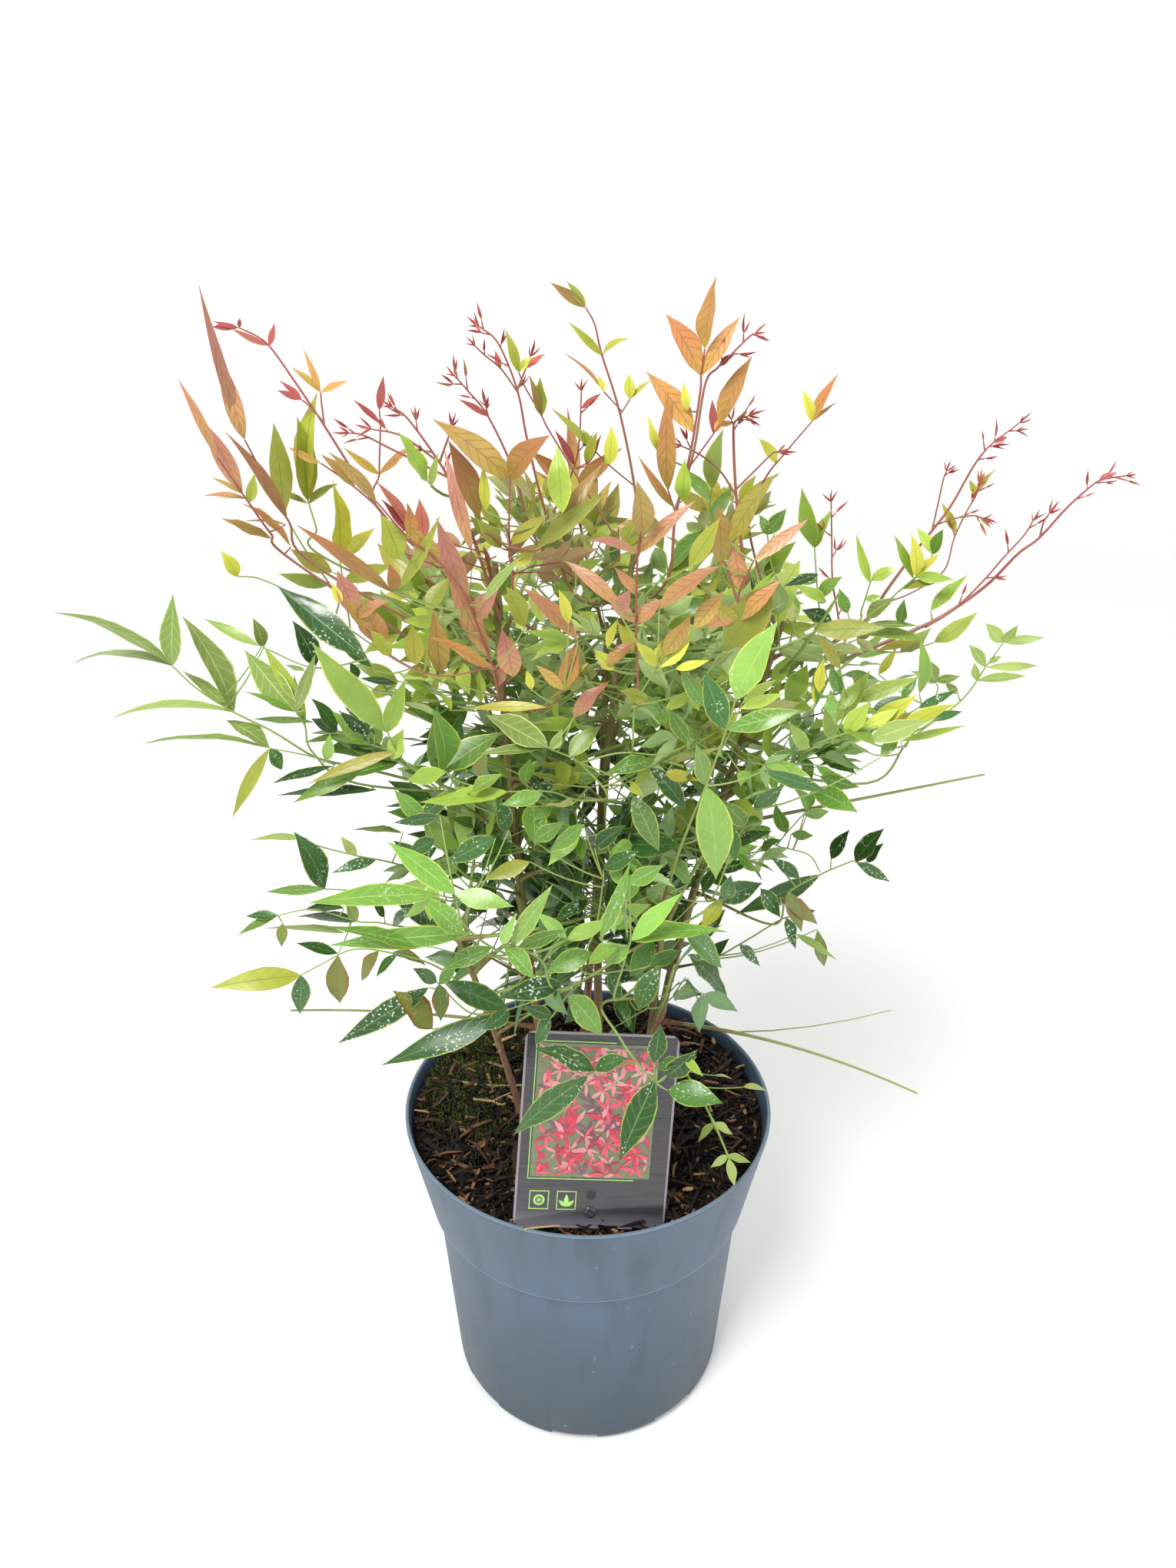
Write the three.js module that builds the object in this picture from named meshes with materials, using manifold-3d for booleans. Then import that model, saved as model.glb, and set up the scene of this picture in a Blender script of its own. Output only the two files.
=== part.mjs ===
// Heavenly bamboo (Nandina), a young shrub in its nursery pot: thin upright canes,
// compound leaves of pointed leaflets on wiry stalks, red unfolding shoots above them,
// a peat and bark fill, and a plain plant label on a peg.
// Millimetres, +Z up. The origin is the centre of the pot's flat underside, and -Y is
// the side that the label faces.
import * as THREE from "three";
import { mergeVertices } from "three/addons/utils/BufferGeometryUtils.js";
import Module from "manifold-3d";

const wasm = await Module();
wasm.setup();

// ---------------------------------------------------------------- driving dimensions
const GAP = 0.3; // clear space kept between neighbouring solids
const DEG = Math.PI / 180;
const UP = new THREE.Vector3(0, 0, 1);

const POT = {
  height: 187.5,
  rimRadius: 104.6, // outside, at the top edge
  collarRadius: 93.4, // outside, at the foot of the collar
  collarFoot: 128, // height of the step under the collar
  step: 3.8, // how far the body stands back under the collar
  stepDrop: 1.5, // height of the step's slope
  bodyFootRadius: 81.5,
  bodyFoot: 6, // height where the rounded lower edge starts
  footRadius: 75,
  footRound: [79.5, 1.8], // radius and height of a point on the rounded edge
  rimBevel: [0.4, 0.8], // the rim's outer bevel, across and down
  wall: 2,
  floor: 9,
  sides: 40,
};
const NOTCH = { count: 8, width: 27, height: 6, depth: 12, turn: -96 }; // drain notches

const SOIL = { level: 178, flat: 84, edge: 174.5 }; // flat out to a radius, then falling

const LABEL = {
  width: 78,
  height: 104,
  thick: 0.8,
  corner: 5,
  foot: [2, -91, 180], // middle of the lower edge
  lean: 18, // degrees back from upright
};
const PEG = { width: 9, thick: 1.6, above: 30, below: 46 }; // strip behind the card
const RIVET = { radius: 3, proud: 1.2, up: 9, sides: 10 };

// Canes: foot on the soil, head, sideways bow half way up, radius at foot and head.
const CANES = {
  left: { foot: [-22, 5], head: [-44, 12, 500], bow: -4, radius: [3.1, 1.5] },
  centre: { foot: [8, 22], head: [22, 26, 500], bow: -8, radius: [3, 1.5] },
  right: { foot: [33, 18], head: [98, 30, 465], bow: -5, radius: [3.2, 1.6] },
  back: { foot: [-4, 52], head: [10, 74, 450], bow: 3, radius: [2.9, 1.5] },
  low_left: { foot: [-38, -6], head: [-70, -28, 325], bow: 2, radius: [2.5, 1.4] },
  low_front: { foot: [26, -12], head: [38, -36, 345], bow: 2, radius: [2.5, 1.4] },
};
const CANE_SIDES = 6;
// A cane's rings: share of its height, swelling of its radius there.
const FLARE = [
  [0, 1.7],
  [0.012, 1.3],
  [0.035, 1.08],
  [0.1, 1],
  [0.4, 1],
  [0.7, 1],
  [1, 1],
];

// How each kind of compound leaf is built. joints: where side stalks leave the rachis,
// as shares of its length. stalks: their length as shares of the rachis. heads: leaflets
// at a stalk's end. splay: angle of a stalk from the rachis. blade: leaflet width over
// length. thick: radius of the rachis at its foot.
const KINDS = {
  broad: { joints: [0.46, 0.76], stalks: [0.34, 0], heads: [3, 1], splay: 54, blade: 0.44, thick: 1.7 },
  long: { joints: [0.55, 0.8], stalks: [0.2, 0], heads: [3, 1], splay: 42, blade: 0.34, thick: 1.6 },
  thin: { joints: [0.5, 0.78], stalks: [0.16, 0], heads: [1, 1], splay: 48, blade: 0.42, thick: 1.4 },
  shoot: {
    joints: [0.52, 0.7, 0.86],
    stalks: [0.13, 0.1, 0],
    heads: [1, 1, 1],
    splay: 34,
    blade: 0.28,
    thick: 1.6,
  },
  sprig: { joints: [0.55, 0.8], stalks: [0.3, 0], heads: [1, 1], splay: 60, blade: 0.46, thick: 1.2 },
  forked: { joints: [0.3], stalks: [0.6], heads: [0], splay: 24, blade: 0, thick: 1.5 },
  bare: { joints: [], stalks: [], heads: [], splay: 0, blade: 0, thick: 1.5 },
};

// The compound leaves: name, cane, height where it leaves the cane, end of the rachis,
// rise of its arch, leaflet length, kind, tint.
const LEAVES = [
  ["leaf_rose_far_left", "left", 430, [-140, -28, 558], -20, 60, "long", "rose"],
  ["leaf_rose_left", "left", 412, [-136, -52, 528], -16, 56, "long", "rose"],
  ["leaf_olive_left", "left", 452, [-108, 14, 534], -12, 50, "broad", "olive"],
  ["shoot_left", "left", 472, [-142, 10, 592], 0, 25, "shoot", "red"],
  ["shoot_tuft_left", "left", 492, [-88, -8, 562], 2, 18, "shoot", "red"],
  ["shoot_centre", "centre", 476, [-40, 24, 588], 2, 21, "shoot", "red"],
  ["leaf_spindle_top", "centre", 492, [-4, 20, 598], -2, 24, "thin", "olive"],
  ["leaf_orange_top", "centre", 466, [50, 0, 580], -4, 43, "long", "orange"],
  ["leaf_orange_right", "right", 456, [104, 42, 556], -2, 26, "thin", "orange"],
  ["shoot_hook", "right", 446, [70, 14, 548], -2, 20, "shoot", "red"],
  ["shoot_right", "right", 436, [198, 50, 548], -4, 18, "shoot", "red"],
  ["shoot_far_right", "right", 424, [243, 30, 530], -6, 14, "shoot", "red"],
  ["leaf_lime_upper_right", "right", 446, [138, 24, 492], -8, 42, "broad", "lime"],
  ["leaf_bronze_right", "right", 428, [112, -26, 500], -10, 50, "long", "bronze"],
  ["leaf_green_far_right", "right", 384, [196, 22, 456], -4, 30, "broad", "green"],
  ["leaf_lime_right", "right", 402, [136, -46, 442], 6, 42, "broad", "lime"],
  ["leaf_green_right_back", "right", 366, [158, 84, 432], 6, 42, "broad", "green"],
  ["leaf_dark_right", "right", 312, [140, 22, 346], 20, 34, "broad", "dark"],
  ["leaf_dark_right_low", "right", 262, [106, -8, 296], 16, 38, "broad", "dark"],
  ["leaf_green_far_left", "left", 352, [-188, -30, 466], -2, 56, "long", "green"],
  ["leaf_lime_left", "left", 376, [-122, -46, 440], 4, 50, "broad", "lime"],
  ["leaf_dark_left", "left", 302, [-140, 32, 346], 14, 40, "broad", "dark"],
  ["leaf_dark_left_low", "left", 264, [-130, 8, 302], 14, 36, "broad", "dark"],
  ["leaf_drooping_left", "low_left", 268, [-162, -22, 284], 18, 46, "broad", "green"],
  ["leaf_bright_front_left", "low_left", 306, [-86, -96, 374], 10, 58, "broad", "bright"],
  ["leaf_dark_front_left", "low_left", 244, [-84, -74, 270], 12, 46, "broad", "dark"],
  ["leaf_olive_left_back", "left", 424, [-114, 74, 486], -4, 48, "broad", "olive"],
  ["leaf_bright_front", "low_front", 322, [8, -112, 372], 6, 46, "broad", "bright"],
  ["leaf_bright_front_right", "low_front", 296, [74, -90, 344], 10, 40, "broad", "bright"],
  ["leaf_hanging_front", "low_front", 340, [50, -98, 448], 6, 54, "long", "bright"],
  ["leaf_over_label", "low_front", 276, [32, -116, 292], 14, 42, "broad", "dark"],
  ["leaf_rose_front", "centre", 430, [18, -74, 520], -6, 36, "long", "rose"],
  ["leaf_rose_front_left", "left", 446, [-46, -84, 504], -8, 54, "long", "rose"],
  ["leaf_rose_front_right", "right", 414, [66, -60, 504], -10, 56, "long", "rose"],
  ["leaf_grey_front", "left", 388, [-16, -74, 438], 2, 42, "broad", "pale"],
  ["leaf_bronze_front", "left", 404, [-60, -94, 466], -2, 44, "broad", "bronze"],
  ["leaf_yellow_front", "centre", 416, [42, -90, 474], -2, 42, "broad", "yellow"],
  ["leaf_olive_centre", "centre", 460, [-30, -34, 536], -6, 48, "long", "olive"],
  ["leaf_dark_inner_left", "left", 330, [-70, -62, 398], 8, 44, "broad", "dark"],
  ["leaf_dark_inner_right", "right", 340, [92, -60, 398], 8, 44, "broad", "dark"],
  ["leaf_dark_inner_centre", "centre", 308, [-14, -80, 332], 12, 42, "broad", "dark"],
  ["leaf_back_high", "back", 440, [-8, 126, 512], -8, 50, "long", "bronze"],
  ["leaf_back_left", "back", 402, [-96, 138, 450], 4, 48, "broad", "olive"],
  ["leaf_back_right", "back", 412, [96, 142, 458], 4, 48, "broad", "lime"],
  ["leaf_back_middle", "back", 352, [10, 172, 396], 14, 46, "broad", "green"],
  ["leaf_back_low", "back", 296, [-62, 146, 330], 20, 42, "broad", "dark"],
  ["stalk_right_high", "right", 350, [200, 2, 393], 0, 0, "bare", "cut"],
  ["stalk_right_low", "right", 226, [176, -40, 224], 8, 0, "forked", "cut"],
  ["stalk_left", "left", 232, [-162, -10, 256], 4, 0, "bare", "cut"],
  ["sprig_on_soil", "right", 212, [74, -66, 202], 12, 17, "sprig", "pale"],
];

// Sides of a twig, and how a leaflet is made: its thickest point near the root, its
// widest point further out, the share of its length that is thickness, and how far its
// root is sunk past the middle of the twig.
const TWIG_SIDES = 3;
const STATIONS = [0, 0.3, 0.64, 1]; // rings of a rachis, kept off its joints
const LEAFLET = { thickAt: 0.16, wideAt: 0.46, thick: 0.03, leastThick: 0.7, sunk: 0.2 };
const TWIG_TIP = 0.75; // radius at the end of a rachis or stalk
const STALK_ROOT = 0.5; // radius of a stalk inside the rachis
const KEEP_OUT = 0.5; // how far from its cane a rachis is cut off
const MOST_SHARED = 0.1; // volume that two leaflets of a leaf may share at their roots
const SET_BACK = [1, 2.6]; // a trio's roots from the twig's end: middle leaflet, side ones
const TRIO_SPLAY = 62; // angle of a trio's side leaflets from the middle one
const TRIO_SIZES = [1.08, 0.86]; // length of a trio's middle and side leaflets
const LOWER_SIZE = 0.9; // length of leaflets below the last trio
const ROLL = 56; // spread of a compound leaf's roll about its rachis, in degrees
const TRIES = [
  [0, 1],
  [50, 1],
  [-50, 0.95],
  [0, 0.75],
]; // turn of a leaflet on its stalk in degrees, and its length, tried in this order
const JITTER = { length: 0.24, splay: 22, lift: 36, roll: 76 }; // spreads of one leaflet

const PLASTIC = { color: "#5f7180", roughness: 0.55, metalness: 0 };
const PEAT = { color: "#2b221b", roughness: 1, metalness: 0 };
const CARD = { color: "#4a4446", roughness: 0.35, metalness: 0 };
const PEG_PLASTIC = { color: "#2a2b2d", roughness: 0.5, metalness: 0 };
const BARK = { color: "#6b3e35", roughness: 0.7, metalness: 0 };
const TINTS = {
  rose: "#bd7a6b",
  bronze: "#b2855a",
  orange: "#c98a4e",
  red: "#9a3f3c",
  olive: "#8f9440",
  yellow: "#b9c935",
  lime: "#8dbb4e",
  bright: "#6fae46",
  green: "#5e8f33",
  dark: "#2f5a2c",
  pale: "#93ae84",
  cut: "#7c8a4e",
};

// ------------------------------------------------------------------------- helpers
// Repeatable numbers from 0 to 1 for a seed (the mulberry32 generator).
function seeded(seed) {
  let state = seed >>> 0;
  return () => {
    state = (state + 0x6d2b79f5) >>> 0;
    let mixed = Math.imul(state ^ (state >>> 15), state | 1);
    mixed ^= mixed + Math.imul(mixed ^ (mixed >>> 7), mixed | 61);
    return ((mixed ^ (mixed >>> 14)) >>> 0) / 4294967296;
  };
}

// A closed three.js geometry as a solid that can be joined and cut.
function solidOf(geometry) {
  const bare = geometry.clone();
  bare.deleteAttribute("normal");
  bare.deleteAttribute("uv");
  const merged = mergeVertices(bare, 1e-4);
  return new wasm.Manifold(
    new wasm.Mesh({
      numProp: 3,
      vertProperties: new Float32Array(merged.attributes.position.array),
      triVerts: new Uint32Array(merged.index.array),
    }),
  );
}

// A solid as a three.js geometry.
function geometryOf(solid) {
  const mesh = solid.getMesh();
  const geometry = new THREE.BufferGeometry();
  const positions = new Float32Array(mesh.numVert * 3);
  for (let i = 0; i < mesh.numVert; i += 1)
    positions.set(mesh.vertProperties.subarray(i * mesh.numProp, i * mesh.numProp + 3), i * 3);
  geometry.setAttribute("position", new THREE.BufferAttribute(positions, 3));
  geometry.setIndex(new THREE.BufferAttribute(new Uint32Array(mesh.triVerts), 1));
  geometry.computeVertexNormals();
  return geometry;
}

// A closed body through rings of equal count, each ring a list of points.
function skinned(rings) {
  const count = rings[0].length;
  const points = rings.flat();
  const faces = [];
  for (let ring = 0; ring + 1 < rings.length; ring += 1)
    for (let side = 0; side < count; side += 1) {
      const a = ring * count + side;
      const b = ring * count + ((side + 1) % count);
      faces.push(a, b, b + count, a, b + count, a + count);
    }
  const last = (rings.length - 1) * count;
  for (let side = 1; side + 1 < count; side += 1) {
    faces.push(0, side + 1, side);
    faces.push(last, last + side, last + side + 1);
  }
  const geometry = new THREE.BufferGeometry().setFromPoints(points);
  geometry.setIndex(faces);
  return geometry;
}

// A tapering limb along points, with rings turned square to it. reference is a
// direction that the limb never runs along, which keeps the rings from twisting.
function limb(points, radii, sides, reference) {
  const rings = points.map((point, i) => {
    const before = points[Math.max(i - 1, 0)];
    const after = points[Math.min(i + 1, points.length - 1)];
    const along = after.clone().sub(before).normalize();
    const across = reference.clone().addScaledVector(along, -reference.dot(along)).normalize();
    const other = along.clone().cross(across);
    return Array.from({ length: sides }, (_, side) => {
      const angle = (side / sides) * 2 * Math.PI;
      return point
        .clone()
        .addScaledVector(across, radii[i] * Math.cos(angle))
        .addScaledVector(other, radii[i] * Math.sin(angle));
    });
  });
  return solidOf(skinned(rings));
}

// A leaflet of eight faces: root and tip, two widest points, and a thick point on each
// side of the blade.
function leaflet(root, along, across, length, width) {
  const face = across.clone().cross(along).normalize();
  const thick = Math.max(length * LEAFLET.thick, LEAFLET.leastThick);
  const at = (run, side, rise) =>
    root.clone().addScaledVector(along, run).addScaledVector(across, side).addScaledVector(face, rise);
  const points = [
    at(-LEAFLET.sunk, 0, 0),
    at(length, 0, 0),
    at(length * LEAFLET.wideAt, width / 2, 0),
    at(length * LEAFLET.wideAt, -width / 2, 0),
    at(length * LEAFLET.thickAt, 0, thick / 2),
    at(length * LEAFLET.thickAt, 0, -thick / 2),
  ];
  const geometry = new THREE.BufferGeometry().setFromPoints(points);
  geometry.setIndex([0, 2, 4, 2, 1, 4, 1, 3, 4, 3, 0, 4, 2, 0, 5, 1, 2, 5, 3, 1, 5, 0, 3, 5]);
  return solidOf(geometry);
}

// True if a solid keeps the gap to every solid of a list.
function isClear(solid, others) {
  const box = solid.boundingBox();
  return others.every((other) => {
    const theirs = other.boundingBox();
    const apart = [0, 1, 2].some(
      (axis) => box.min[axis] > theirs.max[axis] + GAP || theirs.min[axis] > box.max[axis] + GAP,
    );
    return apart || solid.minGap(other, 2 * GAP) >= GAP;
  });
}

// -------------------------------------------------------------------- pot and its fill
// The pot's outer and inner outlines, from the axis to the rim, as radius and height.
const bodyTopRadius = POT.collarRadius - POT.step;
const outerWall = [
  [POT.footRadius, 0],
  POT.footRound,
  [POT.bodyFootRadius, POT.bodyFoot],
  [bodyTopRadius, POT.collarFoot - POT.stepDrop],
  [POT.collarRadius, POT.collarFoot],
  [POT.rimRadius, POT.height - POT.rimBevel[1]],
  [POT.rimRadius - POT.rimBevel[0], POT.height],
];
const innerWall = [
  [POT.bodyFootRadius - POT.wall, POT.floor],
  [bodyTopRadius - POT.wall, POT.collarFoot - POT.stepDrop],
  [POT.collarRadius - POT.wall, POT.collarFoot + POT.wall],
  [POT.rimRadius - POT.wall, POT.height],
];

// A body turned round the pot's axis from an outline that starts and ends on the axis.
function turned(outline) {
  const profile = outline.map(([radius, height]) => new THREE.Vector2(radius, height));
  return solidOf(new THREE.LatheGeometry(profile, POT.sides).rotateX(Math.PI / 2));
}

function makePot() {
  const shell = turned([[0, 0], ...outerWall, ...innerWall.slice().reverse(), [0, POT.floor]]);
  const notches = Array.from({ length: NOTCH.count }, (_, i) => {
    const cutter = new THREE.BoxGeometry(2 * NOTCH.depth, NOTCH.width, 2 * NOTCH.height);
    cutter.translate(POT.bodyFootRadius, 0, 0);
    cutter.rotateZ((NOTCH.turn + (i * 360) / NOTCH.count) * DEG);
    return solidOf(cutter);
  });
  return notches.reduce((pot, notch) => pot.subtract(notch), shell);
}

function makeSoil(pegSlot) {
  const radiusAt = (height) => {
    const [low, high] = innerWall.slice(2);
    return low[0] + ((high[0] - low[0]) * (height - low[1])) / (high[1] - low[1]);
  };
  const side = innerWall.slice(0, 3).map(([radius, height]) => [radius - GAP, height + GAP]);
  const top = [
    [radiusAt(SOIL.edge) - GAP, SOIL.edge],
    [SOIL.flat, SOIL.level],
  ];
  return turned([[0, POT.floor + GAP], ...side, ...top, [0, SOIL.level]]).subtract(pegSlot);
}

// --------------------------------------------------------------------------- label
// A slab in the card's own frame: x across, y up the card, z towards the reader.
function onLabel(geometry) {
  return geometry.rotateX((90 - LABEL.lean) * DEG).translate(...LABEL.foot);
}

function makeLabelCard() {
  const half = LABEL.width / 2;
  const { height, corner } = LABEL;
  const outline = new THREE.Shape();
  outline.moveTo(corner - half, 0);
  outline.lineTo(half - corner, 0);
  outline.absarc(half - corner, corner, corner, -Math.PI / 2, 0);
  outline.lineTo(half, height - corner);
  outline.absarc(half - corner, height - corner, corner, 0, Math.PI / 2);
  outline.lineTo(corner - half, height);
  outline.absarc(corner - half, height - corner, corner, Math.PI / 2, Math.PI);
  outline.lineTo(-half, corner);
  outline.absarc(corner - half, corner, corner, Math.PI, 1.5 * Math.PI);
  const card = new THREE.ExtrudeGeometry(outline, {
    depth: LABEL.thick,
    bevelEnabled: false,
    curveSegments: 4,
  });
  const pin = LABEL.thick + RIVET.proud;
  const rivet = new THREE.CylinderGeometry(RIVET.radius, RIVET.radius, pin, RIVET.sides);
  rivet.rotateX(Math.PI / 2).translate(0, RIVET.up, pin / 2);
  return solidOf(onLabel(card)).add(solidOf(onLabel(rivet)));
}

// The peg: a strip behind the card that bends upright at the card's foot and goes down
// into the soil, seen from the side as depth (Y) and height.
const pegFront = LABEL.foot[1] + GAP * Math.cos(LABEL.lean * DEG);
const pegBend = LABEL.foot[2] - GAP * Math.sin(LABEL.lean * DEG);

function makePeg() {
  const lean = LABEL.lean * DEG;
  const [topY, topZ] = [pegFront + PEG.above * Math.sin(lean), pegBend + PEG.above * Math.cos(lean)];
  const side = new THREE.Shape([
    new THREE.Vector2(pegFront, pegBend),
    new THREE.Vector2(topY, topZ),
    new THREE.Vector2(topY + PEG.thick * Math.cos(lean), topZ - PEG.thick * Math.sin(lean)),
    new THREE.Vector2(pegFront + PEG.thick, pegBend - PEG.thick * Math.tan(lean / 2)),
    new THREE.Vector2(pegFront + PEG.thick, pegBend - PEG.below),
    new THREE.Vector2(pegFront, pegBend - PEG.below),
  ]);
  const strip = new THREE.ExtrudeGeometry(side, { depth: PEG.width, bevelEnabled: false });
  strip.rotateX(Math.PI / 2).rotateZ(Math.PI / 2);
  return solidOf(strip.translate(LABEL.foot[0] - PEG.width / 2, 0, 0));
}

// The slot that the peg's foot needs in the soil.
function makePegSlot() {
  const height = 2 * PEG.below;
  const bottom = pegBend - PEG.below - GAP;
  const slot = new THREE.BoxGeometry(PEG.width + 2 * GAP, PEG.thick + 2 * GAP, height);
  return solidOf(slot.translate(LABEL.foot[0], pegFront + PEG.thick / 2, bottom + height / 2));
}

// --------------------------------------------------------------------------- canes
// The middle of a cane at a height: straight from foot to head, bowed sideways.
function caneAt(cane, height) {
  const { foot, head, bow } = CANES[cane];
  const low = SOIL.level + GAP;
  const share = (height - low) / (head[2] - low);
  const belly = 4 * share * (1 - share) * bow;
  const x = foot[0] + (head[0] - foot[0]) * share + belly;
  const y = foot[1] + (head[1] - foot[1]) * share;
  return new THREE.Vector3(x, y, height);
}

// A cane, made thicker all round by room. Its foot is cut level, just clear of the soil.
function makeCane(cane, room) {
  const { head, radius } = CANES[cane];
  const low = SOIL.level + GAP;
  const heights = FLARE.map(([share]) => low + (head[2] - low) * share);
  const rings = FLARE.map(([share, swell], i) => {
    const middle = caneAt(cane, heights[i]);
    const size = (radius[0] + (radius[1] - radius[0]) * share) * swell + room;
    const first = i === 0 ? -room : 0;
    const last = i === FLARE.length - 1 ? room : 0;
    return Array.from({ length: CANE_SIDES }, (_, side) => {
      const angle = (side / CANE_SIDES) * 2 * Math.PI;
      const x = middle.x + size * Math.cos(angle);
      const y = middle.y + size * Math.sin(angle);
      return new THREE.Vector3(x, y, middle.z + first + last);
    });
  });
  return solidOf(skinned(rings));
}

// ------------------------------------------------------------------ compound leaves
// The line of a rachis, and its side direction and roll.
function rachisOf([, cane, height, end, arch], index) {
  const start = caneAt(cane, height);
  const tip = new THREE.Vector3(...end);
  const reach = tip.clone().sub(start);
  const heading = new THREE.Vector3(reach.x, reach.y, 0).normalize();
  const roll = (seeded(index)() - 0.5) * ROLL * DEG;
  const side = new THREE.Vector3(heading.y, -heading.x, 0)
    .multiplyScalar(Math.cos(roll))
    .addScaledVector(UP, Math.sin(roll));
  const rings = STATIONS.map((share) =>
    start.clone().addScaledVector(reach, share).addScaledVector(UP, 4 * arch * share * (1 - share)),
  );
  return {
    length: reach.length(),
    side,
    rings,
    at: (share) => {
      const next = Math.max(STATIONS.findIndex((station) => station >= share), 1);
      const [low, high] = [STATIONS[next - 1], STATIONS[next]];
      return rings[next - 1].clone().lerp(rings[next], (share - low) / (high - low));
    },
    setBack: (back) => rings.at(-2).clone().sub(rings.at(-1)).setLength(back).add(rings.at(-1)),
    along: (share) => reach.clone().addScaledVector(UP, 4 * arch * (1 - 2 * share)).normalize(),
  };
}

// A direction turned from along towards side by an angle.
function turnedTo(along, side, angle) {
  const square = side.clone().addScaledVector(along, -side.dot(along)).normalize();
  return along.clone().multiplyScalar(Math.cos(angle)).addScaledVector(square, Math.sin(angle));
}

// Where one leaflet goes: its direction and the direction across its blade.
function leafletPose(along, side, angle, random) {
  const scale = 1 + (random() - 0.5) * JITTER.length;
  const turn = angle + (random() - 0.5) * JITTER.splay * DEG;
  const lift = (random() - 0.5) * JITTER.lift * DEG;
  const roll = (random() - 0.5) * JITTER.roll * DEG;
  const flat = turnedTo(along, side, turn);
  const face = side.clone().cross(along).normalize();
  const run = flat.clone().addScaledVector(face, Math.tan(lift)).normalize();
  const level = run.clone().cross(face).normalize();
  const across = level.multiplyScalar(Math.cos(roll)).addScaledVector(face, Math.sin(roll));
  across.addScaledVector(run, -across.dot(run)).normalize();
  return { run, across, scale };
}

// The twigs of one compound leaf, each with the leaflets that it carries.
function planLeaf(row, index) {
  const [size, kindName] = row.slice(5);
  const kind = KINDS[kindName];
  const rachis = rachisOf(row, index);
  const leafless = kind.blade === 0;
  const stem = {
    points: rachis.rings,
    foot: kind.thick,
    leaflets: leafless ? [] : trioPlan(rachis.setBack, rachis.along(1), rachis.side, size, index * 1000, 3),
  };
  const twigs = [];
  const hands = leafless ? [-1] : [1, -1];
  kind.joints.forEach((share, joint) => {
    const along = rachis.along(share);
    const root = rachis.at(share);
    for (const hand of hands) {
      const seed = index * 1000 + (joint + 1) * 100 + (hand > 0 ? 50 : 0);
      const angle = hand * (kind.splay + (seeded(seed)() - 0.5) * JITTER.splay) * DEG;
      const length = kind.stalks[joint] * rachis.length;
      if (length === 0) {
        const lowerSize = size * LOWER_SIZE;
        stem.leaflets.push({ root, along, side: rachis.side, angle, size: lowerSize, seed: seed + 1 });
        continue;
      }
      const way = turnedTo(along, rachis.side, angle);
      const end = root.clone().addScaledVector(way, length);
      const setBack = (back) => end.clone().addScaledVector(way, -back);
      const leaflets = trioPlan(setBack, way, rachis.side, size * LOWER_SIZE, seed, kind.heads[joint]);
      twigs.push({ points: [root, end], foot: STALK_ROOT, leaflets });
    }
  });
  return { stem, twigs, reference: rachis.side, blade: kind.blade };
}

// One leaflet straight on, and with three of them one to each side. setBack gives the
// point that lies some way back from the twig's end.
function trioPlan(setBack, along, side, size, seed, count) {
  const square = side.clone().addScaledVector(along, -side.dot(along)).normalize();
  const places = [0, 1, -1].slice(0, count);
  return places.map((place, i) => ({
    root: setBack(SET_BACK[place === 0 ? 0 : 1]),
    along,
    side: square,
    angle: place * TRIO_SPLAY * DEG,
    size: size * TRIO_SIZES[place === 0 ? 0 : 1],
    seed: seed + 1 + i,
  }));
}

function buildTwig(twig, reference) {
  const last = twig.points.length - 1;
  const radii = twig.points.map((_, i) => twig.foot + ((TWIG_TIP - twig.foot) * i) / last);
  return limb(twig.points, radii, TWIG_SIDES, reference);
}

// True if a leaflet cuts through one of its own compound leaf's leaflets.
function crosses(solid, mates) {
  const box = solid.boundingBox();
  return mates.some((mate) => {
    const theirs = mate.boundingBox();
    const apart = [0, 1, 2].some(
      (axis) => box.min[axis] > theirs.max[axis] || theirs.min[axis] > box.max[axis],
    );
    return !apart && solid.intersect(mate).volume() > MOST_SHARED;
  });
}

// A leaflet as planned, or turned on its stalk or shortened where it would touch
// something, or nothing where it has no room.
function placeLeaflet(plan, blade, others, mates) {
  const { run, across, scale } = leafletPose(plan.along, plan.side, plan.angle, seeded(plan.seed));
  for (const [turn, shrink] of TRIES) {
    const length = plan.size * scale * shrink;
    const face = across.clone().cross(run);
    const rolled = across
      .clone()
      .multiplyScalar(Math.cos(turn * DEG))
      .addScaledVector(face, Math.sin(turn * DEG));
    const made = leaflet(plan.root, run, rolled, length, length * blade);
    if (isClear(made, others) && !crosses(made, mates)) return made;
  }
  return null;
}

// ------------------------------------------------------------------------ assembly
const solids = new Map([
  ["pot", [makePot(), PLASTIC]],
  ["soil", [makeSoil(makePegSlot()), PEAT]],
  ["label_card", [makeLabelCard(), CARD]],
  ["label_peg", [makePeg(), PEG_PLASTIC]],
]);
for (const cane of Object.keys(CANES)) solids.set("cane_" + cane, [makeCane(cane, 0), BARK]);
const fixed = [...solids.values()].map(([solid]) => solid);
const caneKeepOut = Object.fromEntries(
  Object.keys(CANES).map((cane) => [cane, makeCane(cane, KEEP_OUT)]),
);

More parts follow.
